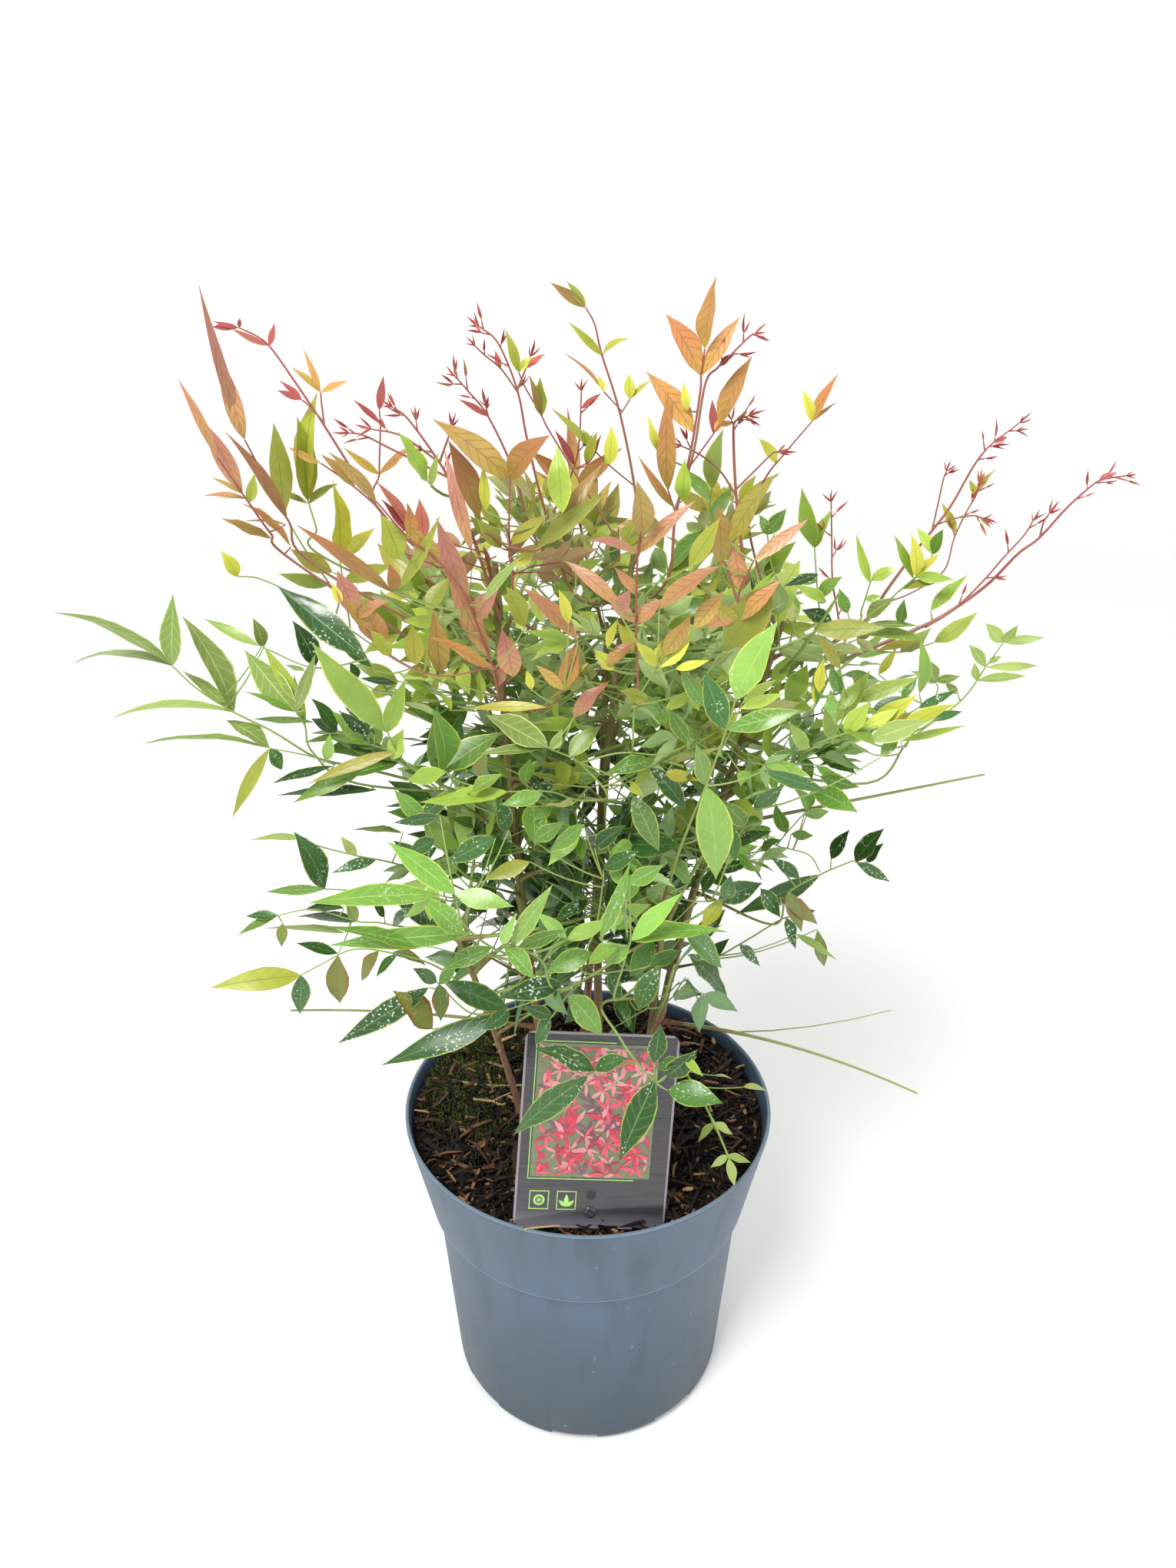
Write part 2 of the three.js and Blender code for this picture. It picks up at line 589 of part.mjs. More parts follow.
// Every rachis first, then the side stalks, then the leaflets, so that each finds room.
const plans = LEAVES.map((row, i) => ({ ...planLeaf(row, i + 1), name: row[0], cane: row[1], tint: row[7] }));
const owned = plans.map((plan) => [
  buildTwig(plan.stem, plan.reference).subtract(caneKeepOut[plan.cane]),
]);
const othersOf = (owner) => [...fixed, ...owned.filter((_, i) => i !== owner).flat()];
plans.forEach((plan, i) => {
  if (!isClear(owned[i][0], othersOf(i))) throw new Error(plan.name + " has no room");
});
plans.forEach((plan, i) => {
  plan.grown = [plan.stem];
  for (const twig of plan.twigs) {
    const solid = buildTwig(twig, UP);
    if (!isClear(solid, othersOf(i))) continue;
    owned[i].push(solid);
    plan.grown.push(twig);
  }
});
plans.forEach((plan, i) => {
  const others = othersOf(i);
  const mates = [];
  for (const leafletPlan of plan.grown.flatMap((twig) => twig.leaflets)) {
    const solid = placeLeaflet(leafletPlan, plan.blade, others, mates);
    if (!solid) continue;
    mates.push(solid);
    owned[i].push(solid);
  }
});
// Each compound leaf is joined into one body. Scraps where leaflets meet are left out.
plans.forEach((plan, i) => {
  const pieces = wasm.Manifold.union(owned[i]).decompose();
  pieces.sort((a, b) => b.volume() - a.volume());
  solids.set(plan.name, [
    pieces[0],
    { color: TINTS[plan.tint], roughness: 0.45, metalness: 0, flatShading: true },
  ]);
});

const plant = new THREE.Group();
for (const [name, [solid, finish]] of solids) {
  const mesh = new THREE.Mesh(geometryOf(solid), new THREE.MeshStandardMaterial(finish));
  mesh.name = name;
  plant.add(mesh);
}

export default plant;
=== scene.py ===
"""Heavenly bamboo (Nandina) in its nursery pot: canes, compound leaves, unfolding shoots,
the fill of peat and bark shreds, the plant label on its peg, and the pot. Sizes in the
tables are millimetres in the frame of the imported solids."""

import math

import bpy
import numpy as np
from bpy.props import FloatProperty, FloatVectorProperty, IntProperty, PointerProperty
from bpy.types import Operator, Panel, PropertyGroup
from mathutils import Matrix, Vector


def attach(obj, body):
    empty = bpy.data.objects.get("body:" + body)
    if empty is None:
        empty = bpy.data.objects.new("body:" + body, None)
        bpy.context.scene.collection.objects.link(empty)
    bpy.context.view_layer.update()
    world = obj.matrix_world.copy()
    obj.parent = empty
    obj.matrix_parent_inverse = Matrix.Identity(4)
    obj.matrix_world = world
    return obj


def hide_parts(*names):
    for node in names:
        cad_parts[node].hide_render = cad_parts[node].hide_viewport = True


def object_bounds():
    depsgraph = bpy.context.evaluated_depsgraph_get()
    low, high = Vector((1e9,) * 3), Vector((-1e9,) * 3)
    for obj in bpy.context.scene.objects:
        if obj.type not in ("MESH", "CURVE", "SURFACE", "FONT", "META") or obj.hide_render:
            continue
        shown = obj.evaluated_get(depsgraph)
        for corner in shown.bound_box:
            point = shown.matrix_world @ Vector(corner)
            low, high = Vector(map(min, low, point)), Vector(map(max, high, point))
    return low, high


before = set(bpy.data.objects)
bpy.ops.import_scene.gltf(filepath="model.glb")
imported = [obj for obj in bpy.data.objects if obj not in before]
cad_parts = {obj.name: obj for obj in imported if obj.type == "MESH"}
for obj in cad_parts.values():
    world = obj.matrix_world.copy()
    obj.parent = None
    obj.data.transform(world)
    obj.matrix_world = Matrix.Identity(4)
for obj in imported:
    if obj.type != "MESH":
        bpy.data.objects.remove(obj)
CAD_BOX = [list(corner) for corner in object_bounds()]

bl_info = {
    "name": "Potted heavenly bamboo",
    "version": (1, 0, 0),
    "blender": (4, 5, 0),
    "location": "3D View > Sidebar > Plant",
    "description": "Canes, compound leaves, fill, label and pot of a young heavenly bamboo",
    "category": "Object",
}

MM = 0.001
UP = np.array([0.0, 0.0, 1.0])
MASK = 0xFFFFFFFF

# ------------------------------------------------------------------ the plant's tables
SOIL_LEVEL = 178.0
CANE_FOOT = 178.3

# Canes: foot on the fill, head, sideways bow half way up, radius at foot and head.
CANES = {
    "left": ((-22, 5), (-44, 12, 500), -4, (3.1, 1.5)),
    "centre": ((8, 22), (22, 26, 500), -8, (3.0, 1.5)),
    "right": ((33, 18), (98, 30, 465), -5, (3.2, 1.6)),
    "back": ((-4, 52), (10, 74, 450), 3, (2.9, 1.5)),
    "low_left": ((-38, -6), (-70, -28, 325), 2, (2.5, 1.4)),
    "low_front": ((26, -12), (38, -36, 345), 2, (2.5, 1.4)),
}

# The compound leaves: solid that it stands for, cane, height where it leaves the cane,
# end of the rachis, rise of its arch, leaflet length, kind, tint.
LEAVES = [
    ("leaf_bronze_right", "right", 428, (112, -26, 496), -6, 36, "broad", "olive"),
    ("leaf_green_right_back", "right", 366, (150, 84, 428), 6, 32, "broad", "green"),
    ("leaf_back_high", "back", 440, (-8, 126, 512), -8, 50, "long", "bronze"),
    ("leaf_back_left", "back", 402, (-96, 138, 450), 4, 48, "broad", "olive"),
    ("leaf_back_right", "back", 412, (96, 142, 458), 4, 48, "broad", "lime"),
    ("leaf_back_middle", "back", 352, (10, 172, 396), 14, 46, "broad", "green"),
    ("leaf_back_low", "back", 296, (-62, 146, 330), 20, 42, "broad", "dark"),
    ("stalk_right_high", "right", 350, (200, 2, 393), 0, 0, "bare", "cut"),
    ("stalk_right_low", "right", 226, (176, -40, 224), 8, 0, "forked", "cut"),
    ("stalk_left", "left", 232, (-162, -10, 256), 4, 0, "bare", "cut"),
    ("sprig_on_soil", "right", 212, (74, -66, 202), 12, 17, "sprig", "pale"),
]
# The solids that stand for the foliage, by the tint of their leaves.
FOLIAGE_NODES = {
    "rose": [
        "leaf_rose_far_left", "leaf_rose_left", "leaf_rose_front", "leaf_rose_front_left",
        "leaf_rose_front_right"
    ],
    "olive": [
        "leaf_olive_left", "leaf_spindle_top", "leaf_olive_left_back", "leaf_olive_centre",
        "leaf_back_left"
    ],
    "red": [
        "shoot_left", "shoot_tuft_left", "shoot_centre", "shoot_hook", "shoot_right", "shoot_far_right"
    ],
    "orange": ["leaf_orange_top", "leaf_orange_right"],
    "lime": ["leaf_lime_upper_right", "leaf_lime_right", "leaf_lime_left", "leaf_back_right"],
    "bronze": ["leaf_bronze_right", "leaf_bronze_front", "leaf_back_high"],
    "green": [
        "leaf_green_far_right", "leaf_green_right_back", "leaf_green_far_left", "leaf_drooping_left",
        "leaf_back_middle"
    ],
    "dark": [
        "leaf_dark_right", "leaf_dark_right_low", "leaf_dark_left", "leaf_dark_left_low",
        "leaf_dark_front_left", "leaf_over_label", "leaf_dark_inner_left", "leaf_dark_inner_right",
        "leaf_dark_inner_centre", "leaf_back_low"
    ],
    "bright": [
        "leaf_bright_front_left", "leaf_bright_front", "leaf_bright_front_right", "leaf_hanging_front"
    ],
    "pale": ["leaf_grey_front", "sprig_on_soil"],
    "yellow": ["leaf_yellow_front"],
    "cut": ["stalk_right_high", "stalk_right_low", "stalk_left"],
}

# How each kind grows. A joint is: share of the rachis, length of its side stalks as a
# share of the rachis, leaflets at a stalk's head, pairs of leaflets along it, seed. Where a
# kind says how many of its long leaflets stay single, as a share, the others grow as sprays.
KINDS = {
    "broad": {
        "joints": [
            (0.46, 0.34, 3, 1, 1), (0.62, 0.21, 3, 0, 3), (0.76, 0.08, 1, 0, 2), (0.89, 0.0, 1, 0, 4),
        ],
        "splay": 54, "blade": 0.4, "thick": 1.25, "shape": (0.8, 1.25),
        "single": 0.3, "shrink": 0.72,
    },
    "long": {
        "joints": [
            (0.4, 0.14, 1, 0, 3), (0.55, 0.2, 3, 0, 1), (0.68, 0.1, 1, 0, 4), (0.8, 0.0, 1, 0, 2),
        ],
        "splay": 42, "blade": 0.3, "thick": 1.15, "shape": (0.78, 1.3), "shrink": 0.8,
    },
    "sprig": {
        "joints": [(0.4, 0.2, 1, 0, 3), (0.55, 0.3, 1, 0, 1), (0.8, 0.0, 1, 0, 2)],
        "splay": 60, "blade": 0.4, "thick": 0.9, "shape": (0.8, 1.1),
    },
    "forked": {"joints": [(0.3, 0.6, 0, 0, 1)], "splay": 24, "blade": 0, "thick": 1.3, "shape": (1, 1)},
    "bare": {"joints": [], "splay": 0, "blade": 0, "thick": 1.3, "shape": (1, 1)},
}
SET_BACK = (1.0, 2.6)  # how far behind a stalk's end its middle and its side leaflets root
TRIO_SPLAY = 62  # degrees between the middle leaflet of three and each side one
TRIO_SIZES = (1.08, 0.86)  # their lengths: the middle one's and the side ones'
LOWER_SIZE = 0.9  # length of the leaflets below a leaf's end
FINER_SIZE = 0.8  # and how much less it is at joints numbered above 2 and in pairs
ROLL = 56  # range in degrees of a leaf's turn about its rachis
# What a leaflet without room tries: turned by degrees, and shortened.
TRIES = ((0, 1), (50, 1), (-50, 0.95), (0, 0.75))
# Ranges of the draws: of a leaflet's length as a share, and of its angles in degrees.
JITTER = {"length": 0.24, "splay": 22, "lift": 36, "roll": 76}

# Tints: three shades of the blade from the head of the leaf to its foot, vein, margin,
# underside, and the look of the surface: roughness, dried water specks.
TINTS = {
    "rose": (("#ba7f6c", "#b8845a", "#b09a50"), "#96503f", "#c4785e", "#c89a84", 0.38, 0.0),
    "bronze": (("#b47c46", "#b08f46", "#a5a042"), "#8a5c36", "#b06e48", "#ba9870", 0.38, 0.0),
    "orange": (("#c9844c", "#c69152", "#bfa446"), "#94602f", "#b86a3e", "#cc9c72", 0.38, 0.0),
    "red": (("#b85c54", "#a84e48", "#c07058"), "#7f3833", "#a04640", "#b4746c", 0.4, 0.0),
    "olive": (("#aaa43c", "#9ca438", "#8aa036"), "#757f34", "#b08e48", "#b0b46c", 0.36, 0.0),
    "yellow": (("#cfcd48", "#bfc444", "#a9b444"), "#8f9636", "#dcdc62", "#c0c46c", 0.36, 0.0),
    "lime": (("#a4bc46", "#90ae3e", "#becf56"), "#7ba04a", "#cbd868", "#b0c680", 0.32, 0.2),
    "bright": (("#7eac46", "#6e9c3c", "#90ba52"), "#a6ca70", "#cbd65c", "#9cbc78", 0.26, 0.5),
    "green": (("#74993c", "#608a34", "#8aac48"), "#94b25a", "#c0c846", "#98b070", 0.32, 0.4),
    "dark": (("#38622a", "#2b4f1f", "#4c7830"), "#6e9450", "#aabb48", "#729462", 0.3, 1.0),
    "scorched": (("#6c863a", "#7f8a3a", "#587c34"), "#90723c", "#8a5228", "#988254", 0.4, 0.3),
    "pale": (("#93a956", "#819a48", "#aebc68"), "#bacc88", "#d4d890", "#a8b884", 0.34, 0.0),
}
# Pieces of foliage: name, tints, material slot of the record.
FOLIAGE = [
    ("leaflets_rose", ("rose",), "leaf_bronze"),
    ("leaflets_bronze", ("bronze", "orange"), "leaf_bronze"),
    ("leaflets_red_shoots", ("red",), "shoot_red"),
    ("leaflets_olive", ("olive", "yellow"), "leaf_lime"),
    ("leaflets_lime", ("lime", "bright"), "leaf_lime"),
    ("leaflets_green", ("green", "pale"), "leaf_green"),
    ("leaflets_dark", ("dark", "scorched"), "leaf_dark"),
]
RED_STALKED = ("rose", "bronze", "orange", "red")

# The inner crown: height where its first leaf leaves each cane, height of the last, first
# heading in radians. Its leaves end on a shell whose radius is told by height.
INNER_LEAVES = {
    "left": (252, 470, 0.4), "centre": (270, 476, 1.7), "right": (262, 440, 3.1),
    "back": (236, 428, 4.4), "low_left": (240, 316, 2.2), "low_front": (256, 336, 5.3),
}
CROWN_AXIS = (8.0, 12.0)
CROWN_SHELL = [(200, 30), (260, 46), (310, 66), (360, 90), (400, 110), (450, 118), (495, 98), (560, 50)]
# Tints of the leaves that end above each height.
INNER_TINTS = [
    (0, ("dark",)), (335, ("dark", "green", "dark", "bright")), (385, ("green", "dark", "bright")),
    (425, ("green", "lime", "bright", "olive")), (462, ("olive", "lime", "green")),
    (500, ("olive", "lime", "bronze", "olive")),
]
GOLDEN_ANGLE = 2.39996
# On its sunny side the crown's middle is paler: beyond which x, between which heights, and
# its tints.
SUNNY_SIDE = (52, (372, 470), ("lime", "bright", "lime", "yellow", "lime", "green"))
# The camera's place. Grown leaflets keep off its sight of the placed ones.
EYE = np.array([0.0, -545.2, 655.4])
# Sprays of the outer crown that are placed: solid that each belongs to, tint of its stalk,
# radius at its foot, cane and height it leaves (none where it leaves the nearest of what
# has grown), depth y at its start and end, its knots (x z), and its leaflets by tint: root
# x z, tip x z, width, and for some the tilt from the front in degrees and the curl in percent.
SPRAYS = [
    ("leaf_rose_far_left", "rose", 1.1, "left 446", -6, -28, "-124 502, -133 525, -140 547, -144 563",
     "rose: -144 563 -159 623 5, -144 563 -152 598 8, -134 527 -154 566 6"),
    ("leaf_rose_left", "rose", 1.1, "left 430", -20, -52, "-129 507, -137 524, -142 540, -149 560",
     "rose: -149 560 -161 591 4, -143 543 -154 575 8, -145 542 -156 551 2, -146 540 -160 543 3 50 30; "
     "olive: -142 540 -138 552 5; orange: -131 516 -152 535 4 55 80; bronze: -136 520 -159 529 5, "
     "-130 528 -147 530 2 60 30"),
    ("leaf_olive_left_back", "olive", 0.6, "", 34, 24, "-137 472, -149 480, -161 487, -170 489",
     "yellow: -170 489 -176 502 7"),
    ("leaf_olive_left", "olive", 1.1, "left 462", 12, 14, "-125 502, -127 515, -130 529",
     "olive: -130 530 -123 577 10, -132 527 -133 565 11, -130 527 -115 536 5 45 50, -130 527 -148 533 "
     "3"),
    ("leaf_olive_left", "olive", 0.9, "", 10, 4, "-120 484, -132 507, -139 524",
     "olive: -139 524 -141 565 10"),
    ("leaf_olive_left", "olive", 0.9, "", 10, 6, "-115 472, -116 503",
     "yellow: -116 504 -116 539 11, -114 502 -99 518 7; olive: -120 496 -139 507 9, -115 492 -92 501 "
     "8, -122 490 -146 494 7, -114 482 -94 480 9"),
    ("shoot_left", "red", 1.3, "left 478", 10, 6, "-76 491, -91 517, -99 529, -107 543, -119 565, "
     "-129 582, -137 595, -142 600, -150 604",
     "red: -150 604 -162 604 3, -151 605 -161 607 2, -138 597 -155 603 3, -137 596 -134 606 3, -150 "
     "604 -149 608 2"),
    ("shoot_left", "red", 0.7, "", 8, 8, "-119 565, -118 572, -118 577",
     "orange: -118 577 -123 596 3, -118 577 -130 588 3, -118 577 -105 583 3"),
    ("shoot_left", "red", 0.7, "", 8, 6, "-119 564, -124 572, -126 574",
     "red: -126 574 -136 582 3, -127 573 -137 578 3"),
    ("shoot_left", "red", 0.8, "", 10, 4, "-98 528, -106 535, -114 542, -120 547",
     "bronze: -120 547 -134 554 4, -106 535 -120 551 5"),
    ("shoot_left", "red", 0.8, "left 470", 4, 4, "-94 524, -94 543, -92 563, -92 570",
     "red: -92 570 -90 585 4, -92 564 -103 575 3, -83 518 -97 538 5, -82 515 -95 530 5, -76 512 -76 "
     "531 7; orange: -94 543 -110 554 4, -94 543 -76 555 4"),
    ("shoot_tuft_left", "red", 1.6, "left 495", -2, -8, "-41 476, -52 514, -61 539, -66 550, "
     "-78 568, -84 573",
     ""),
    ("shoot_tuft_left", "red", 0.9, "", -8, -8, "-65 550, -81 561, -94 564",
     ""),
    ("shoot_tuft_left", "red", 0.9, "", -6, -6, "-64 542, -86 555, -98 561, -104 562",
     ""),
    ("shoot_tuft_left", "red", 0.9, "", -8, -8, "-65 549, -61 560, -59 565",
     ""),
    ("shoot_centre", "red", 1.3, "centre 476", 24, 22, "-6 479, -20 520, -28 554, -32 576, "
     "-40 596, -48 603",
     ""),
    ("shoot_centre", "red", 0.7, "", 24, 20, "-32 576, -39 585, -46 591, -50 595",
     "red: -39 585 -42 593 3"),
    ("shoot_centre", "red", 0.7, "", 24, 26, "-32 576, -28 585, -26 590",
     "red: -27 585 -19 591 3"),
    ("shoot_centre", "red", 1.1, "centre 470", 20, 14, "-22 504, -34 540, -45 565, -54 577, -59 583",
     "red: -45 565 -58 574 3"),
    ("shoot_centre", "red", 0.6, "", 16, 16, "-45 565, -46 570",
     ""),
    ("leaf_spindle_top", "bronze", 0.8, "", 20, 20, "15 504, -4 536, -18 559, -21 565, -28 577, -31 584",
     "yellow: -31 584 -37 602 5, -30 584 -25 591 5, -21 565 -22 582 7; bronze: -21 565 -27 583 4"),
    ("leaf_spindle_top", "bronze", 1.2, "centre 492", 20, 20, "25 507, 21 537, 14 568, 6 592, "
     "3 604, -1 611",
     "bronze: -1 611 -16 622 5; olive: -1 611 -9 622 4, 6 592 18 598 3 55 110; yellow: 6 592 -8 606 4"),
    ("leaf_spindle_top", "bronze", 0.5, "", 20, 22, "14 568, 19 572",
     "yellow: 19 572 18 583 6, 19 572 28 581 3"),
    ("leaf_spindle_top", "bronze", 0.5, "", 20, 18, "14 568, 7 576",
     "yellow: 7 576 5 583 4; bronze: 7 576 -10 593 2 60 40"),
    ("leaf_spindle_top", "bronze", 0.6, "", 20, 18, "22 535, 10 543, 3 550",
     "yellow: 10 544 11 561 7, 10 544 7 549 3, -1 544 3 559 5, 1 551 -3 559 4; red: -1 543 6 558 3; "
     "olive: 3 550 -16 570 4"),
    ("shoot_centre", "red", 0.9, "", 24, 24, "-18 516, -7 540, -4 554, -3 575",
     "red: -3 567 6 575 3, -6 542 -16 558 4"),
    ("leaf_olive_centre", "bronze", 1.2, "centre 462", -20, -30, "-27 478, -34 516, -33 547",
     "bronze: -34 547 -63 574 11, -33 547 -15 564 11 35 100, -47 529 -57 564 9, -17 519 5 555 7; "
     "rose: -51 514 -61 559 7; lime: -11 532 -13 561 11, -68 546 -80 566 7, -67 544 -63 558 4; "
     "yellow: -44 533 -43 553 5, -33 508 -21 515 6; olive: -23 516 8 543 8, -31 519 -17 531 7, -38 "
     "516 -48 530 7"),
    ("leaf_olive_centre", "bronze", 0.9, "", -28, -32, "-34 517, -44 524, -49 518",
     ""),
    ("leaf_olive_centre", "bronze", 0.9, "", -28, -22, "-34 517, -21 516, -12 531",
     ""),
    ("leaf_rose_front", "rose", 1.1, "centre 432", -60, -74, "21 456, 20 493, 20 526, 21 535",
     "rose: 21 534 20 556 13 25 60, 21 525 0 531 4 50 90, 21 524 42 548 6, 20 507 11 520 5, 20 497 6 "
     "510 6, 20 493 32 505 7; yellow: 21 482 13 496 7"),
    ("leaf_orange_top", "orange", 1.3, "centre 468", 6, 0, "37 492, 40 522, 46 553, 49 578, "
     "49 585, 50 596",
     "orange: 50 596 53 625 9, 49 585 33 610 10, 49 585 66 608 7, 44 561 26 587 11"),
    ("leaf_orange_top", "orange", 0.8, "", 2, 2, "47 548, 54 558, 58 564",
     "orange: 58 564 71 593 8, 54 562 60 568 5; red: 52 562 54 575 4"),
    ("leaf_orange_top", "orange", 0.7, "", 4, 4, "40 523, 36 536",
     "bronze: 36 535 33 578 9, 36 526 23 551 4; yellow: 44 570 41 582 4, 32 552 27 568 4; lime: 43 "
     "530 44 549 8"),
    ("leaf_orange_top", "red", 1, "", 4, 0, "41 526, 47 551, 51 581, 56 588, 62 594, 69 601, 71 602",
     "red: 57 588 64 594 3"),
    ("leaf_orange_right", "orange", 1, "right 456", 42, 42, "79 509, 85 531, 94 544, 106 559",
     "yellow: 106 558 101 574 5, 92 538 81 551 7 45 80, 74 521 81 534 6, 71 521 65 528 5; orange: 108 "
     "559 118 580 6, 108 560 117 568 2 50 20"),
    ("shoot_hook", "red", 1.6, "right 446", 14, 14, "78 482, 72 509, 68 535, 66 556, 66 563, "
     "69 565, 72 566",
     "orange: 65 563 55 563 3, 66 564 72 568 2"),
    ("shoot_hook", "red", 0.9, "", 14, 18, "68 533, 61 541, 52 548, 43 552",
     ""),
    ("shoot_hook", "red", 0.8, "", 14, 16, "68 532, 77 542, 84 549, 87 550",
     ""),
    ("shoot_hook", "red", 0.9, "", 20, 20, "123 460, 118 488, 116 507, 114 526",
     ""),
    ("leaf_rose_front_right", "rose", 1.2, "right 418", -50, -60, "69 470, 63 500, 68 520",
     "rose: 68 520 90 537 6, 62 508 61 527 8, 65 497 50 490 7; bronze: 58 528 74 557 9, 55 518 53 543 "
     "9, 65 493 82 510 7, 62 493 50 502 7"),
    ("leaf_rose_front_right", "rose", 0.9, "", -58, -58, "63 501, 57 518, 55 519",
     ""),
    ("leaf_orange_right", "green", 0.9, "", 30, 30, "67 489, 59 516, 59 530",
     "lime: 59 530 63 558 10; green: 58 524 44 539 7, 61 516 69 531 7"),
    ("leaf_lime_upper_right", "lime", 0.8, "", 24, 20, "116 463, 112 480, 108 504",
     "lime: 107 503 101 533 9, 109 503 115 523 6; green: 112 486 98 490 7, 113 480 123 490 8"),
    ("leaf_lime_upper_right", "green", 0.7, "", 26, 26, "96 479, 89 494, 86 509",
     "green: 86 509 95 521 8, 86 509 82 519 6, 88 502 101 512 4 50 10"),
    ("shoot_right", "red", 1.5, "right 436", 46, 50, "137 454, 153 478, 163 494, 172 507, "
     "179 518, 187 536, 192 544, 196 548, 207 557",
     "red: 196 547 202 551 3"),
    ("shoot_right", "red", 0.7, "", 50, 50, "173 507, 173 519, 174 530, 175 534",
     ""),
    ("shoot_right", "red", 0.7, "", 50, 46, "173 507, 181 511, 190 513, 195 512",
     "bronze: 193 513 200 507 2; olive: 185 508 188 512 2"),
    ("shoot_right", "red", 0.6, "", 50, 50, "180 484, 183 500, 187 513, 191 522, 192 528",
     "orange: 192 524 198 535 4, 192 525 194 534 3; yellow: 190 522 186 530 3, 182 504 175 519 5"),
    ("shoot_far_right", "red", 1.7, "right 424", 34, 30, "151 452, 173 463, 187 473, 199 484, "
     "210 498, 219 506, 229 520, 237 529, 243 534, 254 536",
     "red: 243 534 250 538 3"),
    ("shoot_far_right", "red", 0.8, "", 30, 30, "218 507, 219 514, 221 518",
     ""),
    ("shoot_far_right", "red", 1, "", 30, 28, "170 462, 181 470, 193 484, 202 497, 210 508, 213 515",
     ""),
    ("leaf_green_far_right", "green", 1.2, "right 386", 10, 22, "143 384, 163 407, 187 427, "
     "198 444, 206 456",
     "pale: 206 456 195 465 8, 206 456 212 465 6, 207 457 226 458 5, 197 445 188 456 6, 198 445 224 "
     "445 5, 200 446 205 450 5, 196 436 192 447 7, 196 436 219 439 5, 185 431 178 438 5"),
    ("leaf_green_far_right", "green", 0.7, "", 14, 16, "163 406, 174 431, 173 438",
     "pale: 173 437 165 451 9, 174 438 185 441 5, 172 436 160 444 5"),
    ("leaf_lime_upper_right", "green", 0.8, "", 30, 30, "134 449, 158 448, 174 453",
     "lime: 174 453 194 469 8; pale: 158 449 172 461 7; olive: 146 450 169 455 4 50 10; yellow: 148 "
     "436 156 451 5"),
    ("leaf_lime_upper_right", "lime", 1, "right 446", 30, 30, "132 457, 136 471, 139 485",
     "lime: 140 483 128 508 5, 140 486 151 492 6, 138 475 145 477 8"),
    ("leaf_lime_upper_right", "lime", 0.8, "", 34, 34, "138 460, 152 476, 162 486",
     "lime: 160 486 149 507 5, 165 484 181 486 6; yellow: 162 487 158 508 7, 162 486 172 498 5; "
     "olive: 156 479 173 484 4 50 10"),
    ("leaf_lime_upper_right", "lime", 0.7, "", 36, 38, "156 478, 165 487, 170 496",
     "lime: 170 496 160 509 5, 172 468 187 487 7; green: 170 496 173 509 7"),
    ("leaf_lime_right", "lime", 1.2, "right 402", -20, -46, "98 415, 114 425, 130 431, 152 439",
     "yellow: 128 435 150 452 9, 141 435 165 451 8, 133 437 148 444 6; lime: 120 447 150 460 7, 115 "
     "436 127 462 9, 143 431 172 439 4, 136 433 128 446 6, 114 426 109 442 7, 104 419 94 433 7; "
     "green: 127 426 122 440 7"),
    ("leaf_lime_right", "lime", 0.8, "", -40, -42, "112 430, 116 442, 118 450",
     ""),
    ("leaf_green_far_left", "green", 1.4, "left 352", -16, -30, "-73 392, -95 402, -123 410, "
     "-133 415, -149 428, -166 439, -180 451, -189 463",
     "pale: -190 464 -238 489 7 55 70, -190 463 -183 497 11, -190 463 -235 463 5 60 90, -166 440 -181 "
     "486 12, -165 442 -188 458 6, -166 439 -224 434 5 60 80"),
    ("leaf_green_far_left", "green", 0.9, "", -24, -28, "-122 411, -132 416, -150 421",
     "pale: -150 421 -211 422 4 65 60, -150 421 -169 435 8; olive: -151 422 -174 385 7; dark: -149 "
     "421 -145 410 9"),
    ("leaf_lime_left", "green", 1.1, "left 378", -30, -46, "-108 403, -128 422, -129 438, -131 447",
     "pale: -131 448 -151 476 14, -129 448 -119 475 6; olive: -127 448 -142 479 7; lime: -126 437 "
     "-132 463 5; green: -131 448 -153 457 3 50 20"),
    ("leaf_lime_left", "lime", 1, "", -30, -44, "-71 403, -86 419, -91 436",
     "lime: -92 437 -119 481 14, -90 439 -82 463 9, -91 420 -85 436 8; olive: -92 423 -132 411 6; "
     "green: -106 414 -140 400 8, -121 420 -118 434 6; dark: -118 417 -148 409 4 50 10, -100 403 -148 "
     "399 6 50 20"),
    ("leaf_lime_left", "green", 1, "left 402", -20, -24, "-85 437, -101 464",
     "dark: -101 464 -141 496 14, -125 461 -133 483 10; pale: -149 470 -175 482 5, -148 470 -151 484 "
     "10"),
    ("leaf_lime_left", "green", 0.7, "", -24, -14, "-101 464, -127 458, -151 466",
     ""),
    ("leaf_dark_left", "dark", 1, "left 302", 10, -10, "-80 328, -103 340, -120 347, -139 356, -143 363",
     "pale: -144 363 -172 362 4 50 30, -120 347 -128 358 6, -96 358 -122 360 4 50 30; dark: -111 344 "
     "-135 335 7, -87 339 -103 350 8, -95 334 -78 349 7"),
    ("leaf_dark_left", "dark", 0.8, "", 4, -10, "-79 317, -115 327, -136 333",
     "dark: -136 334 -149 366 12, -107 325 -124 320 6; green: -136 333 -167 333 6"),
    ("leaf_dark_left_low", "dark", 1, "left 264", 0, -10, "-72 295, -108 307, -122 310, -144 319, "
     "-162 317",
     "dark: -161 318 -179 317 6, -122 310 -154 313 7, -128 319 -150 318 6, -108 311 -114 321 7, -134 "
     "290 -156 297 7, -106 306 -91 316 7; green: -164 314 -185 306 5; pale: -122 311 -127 324 8, -129 "
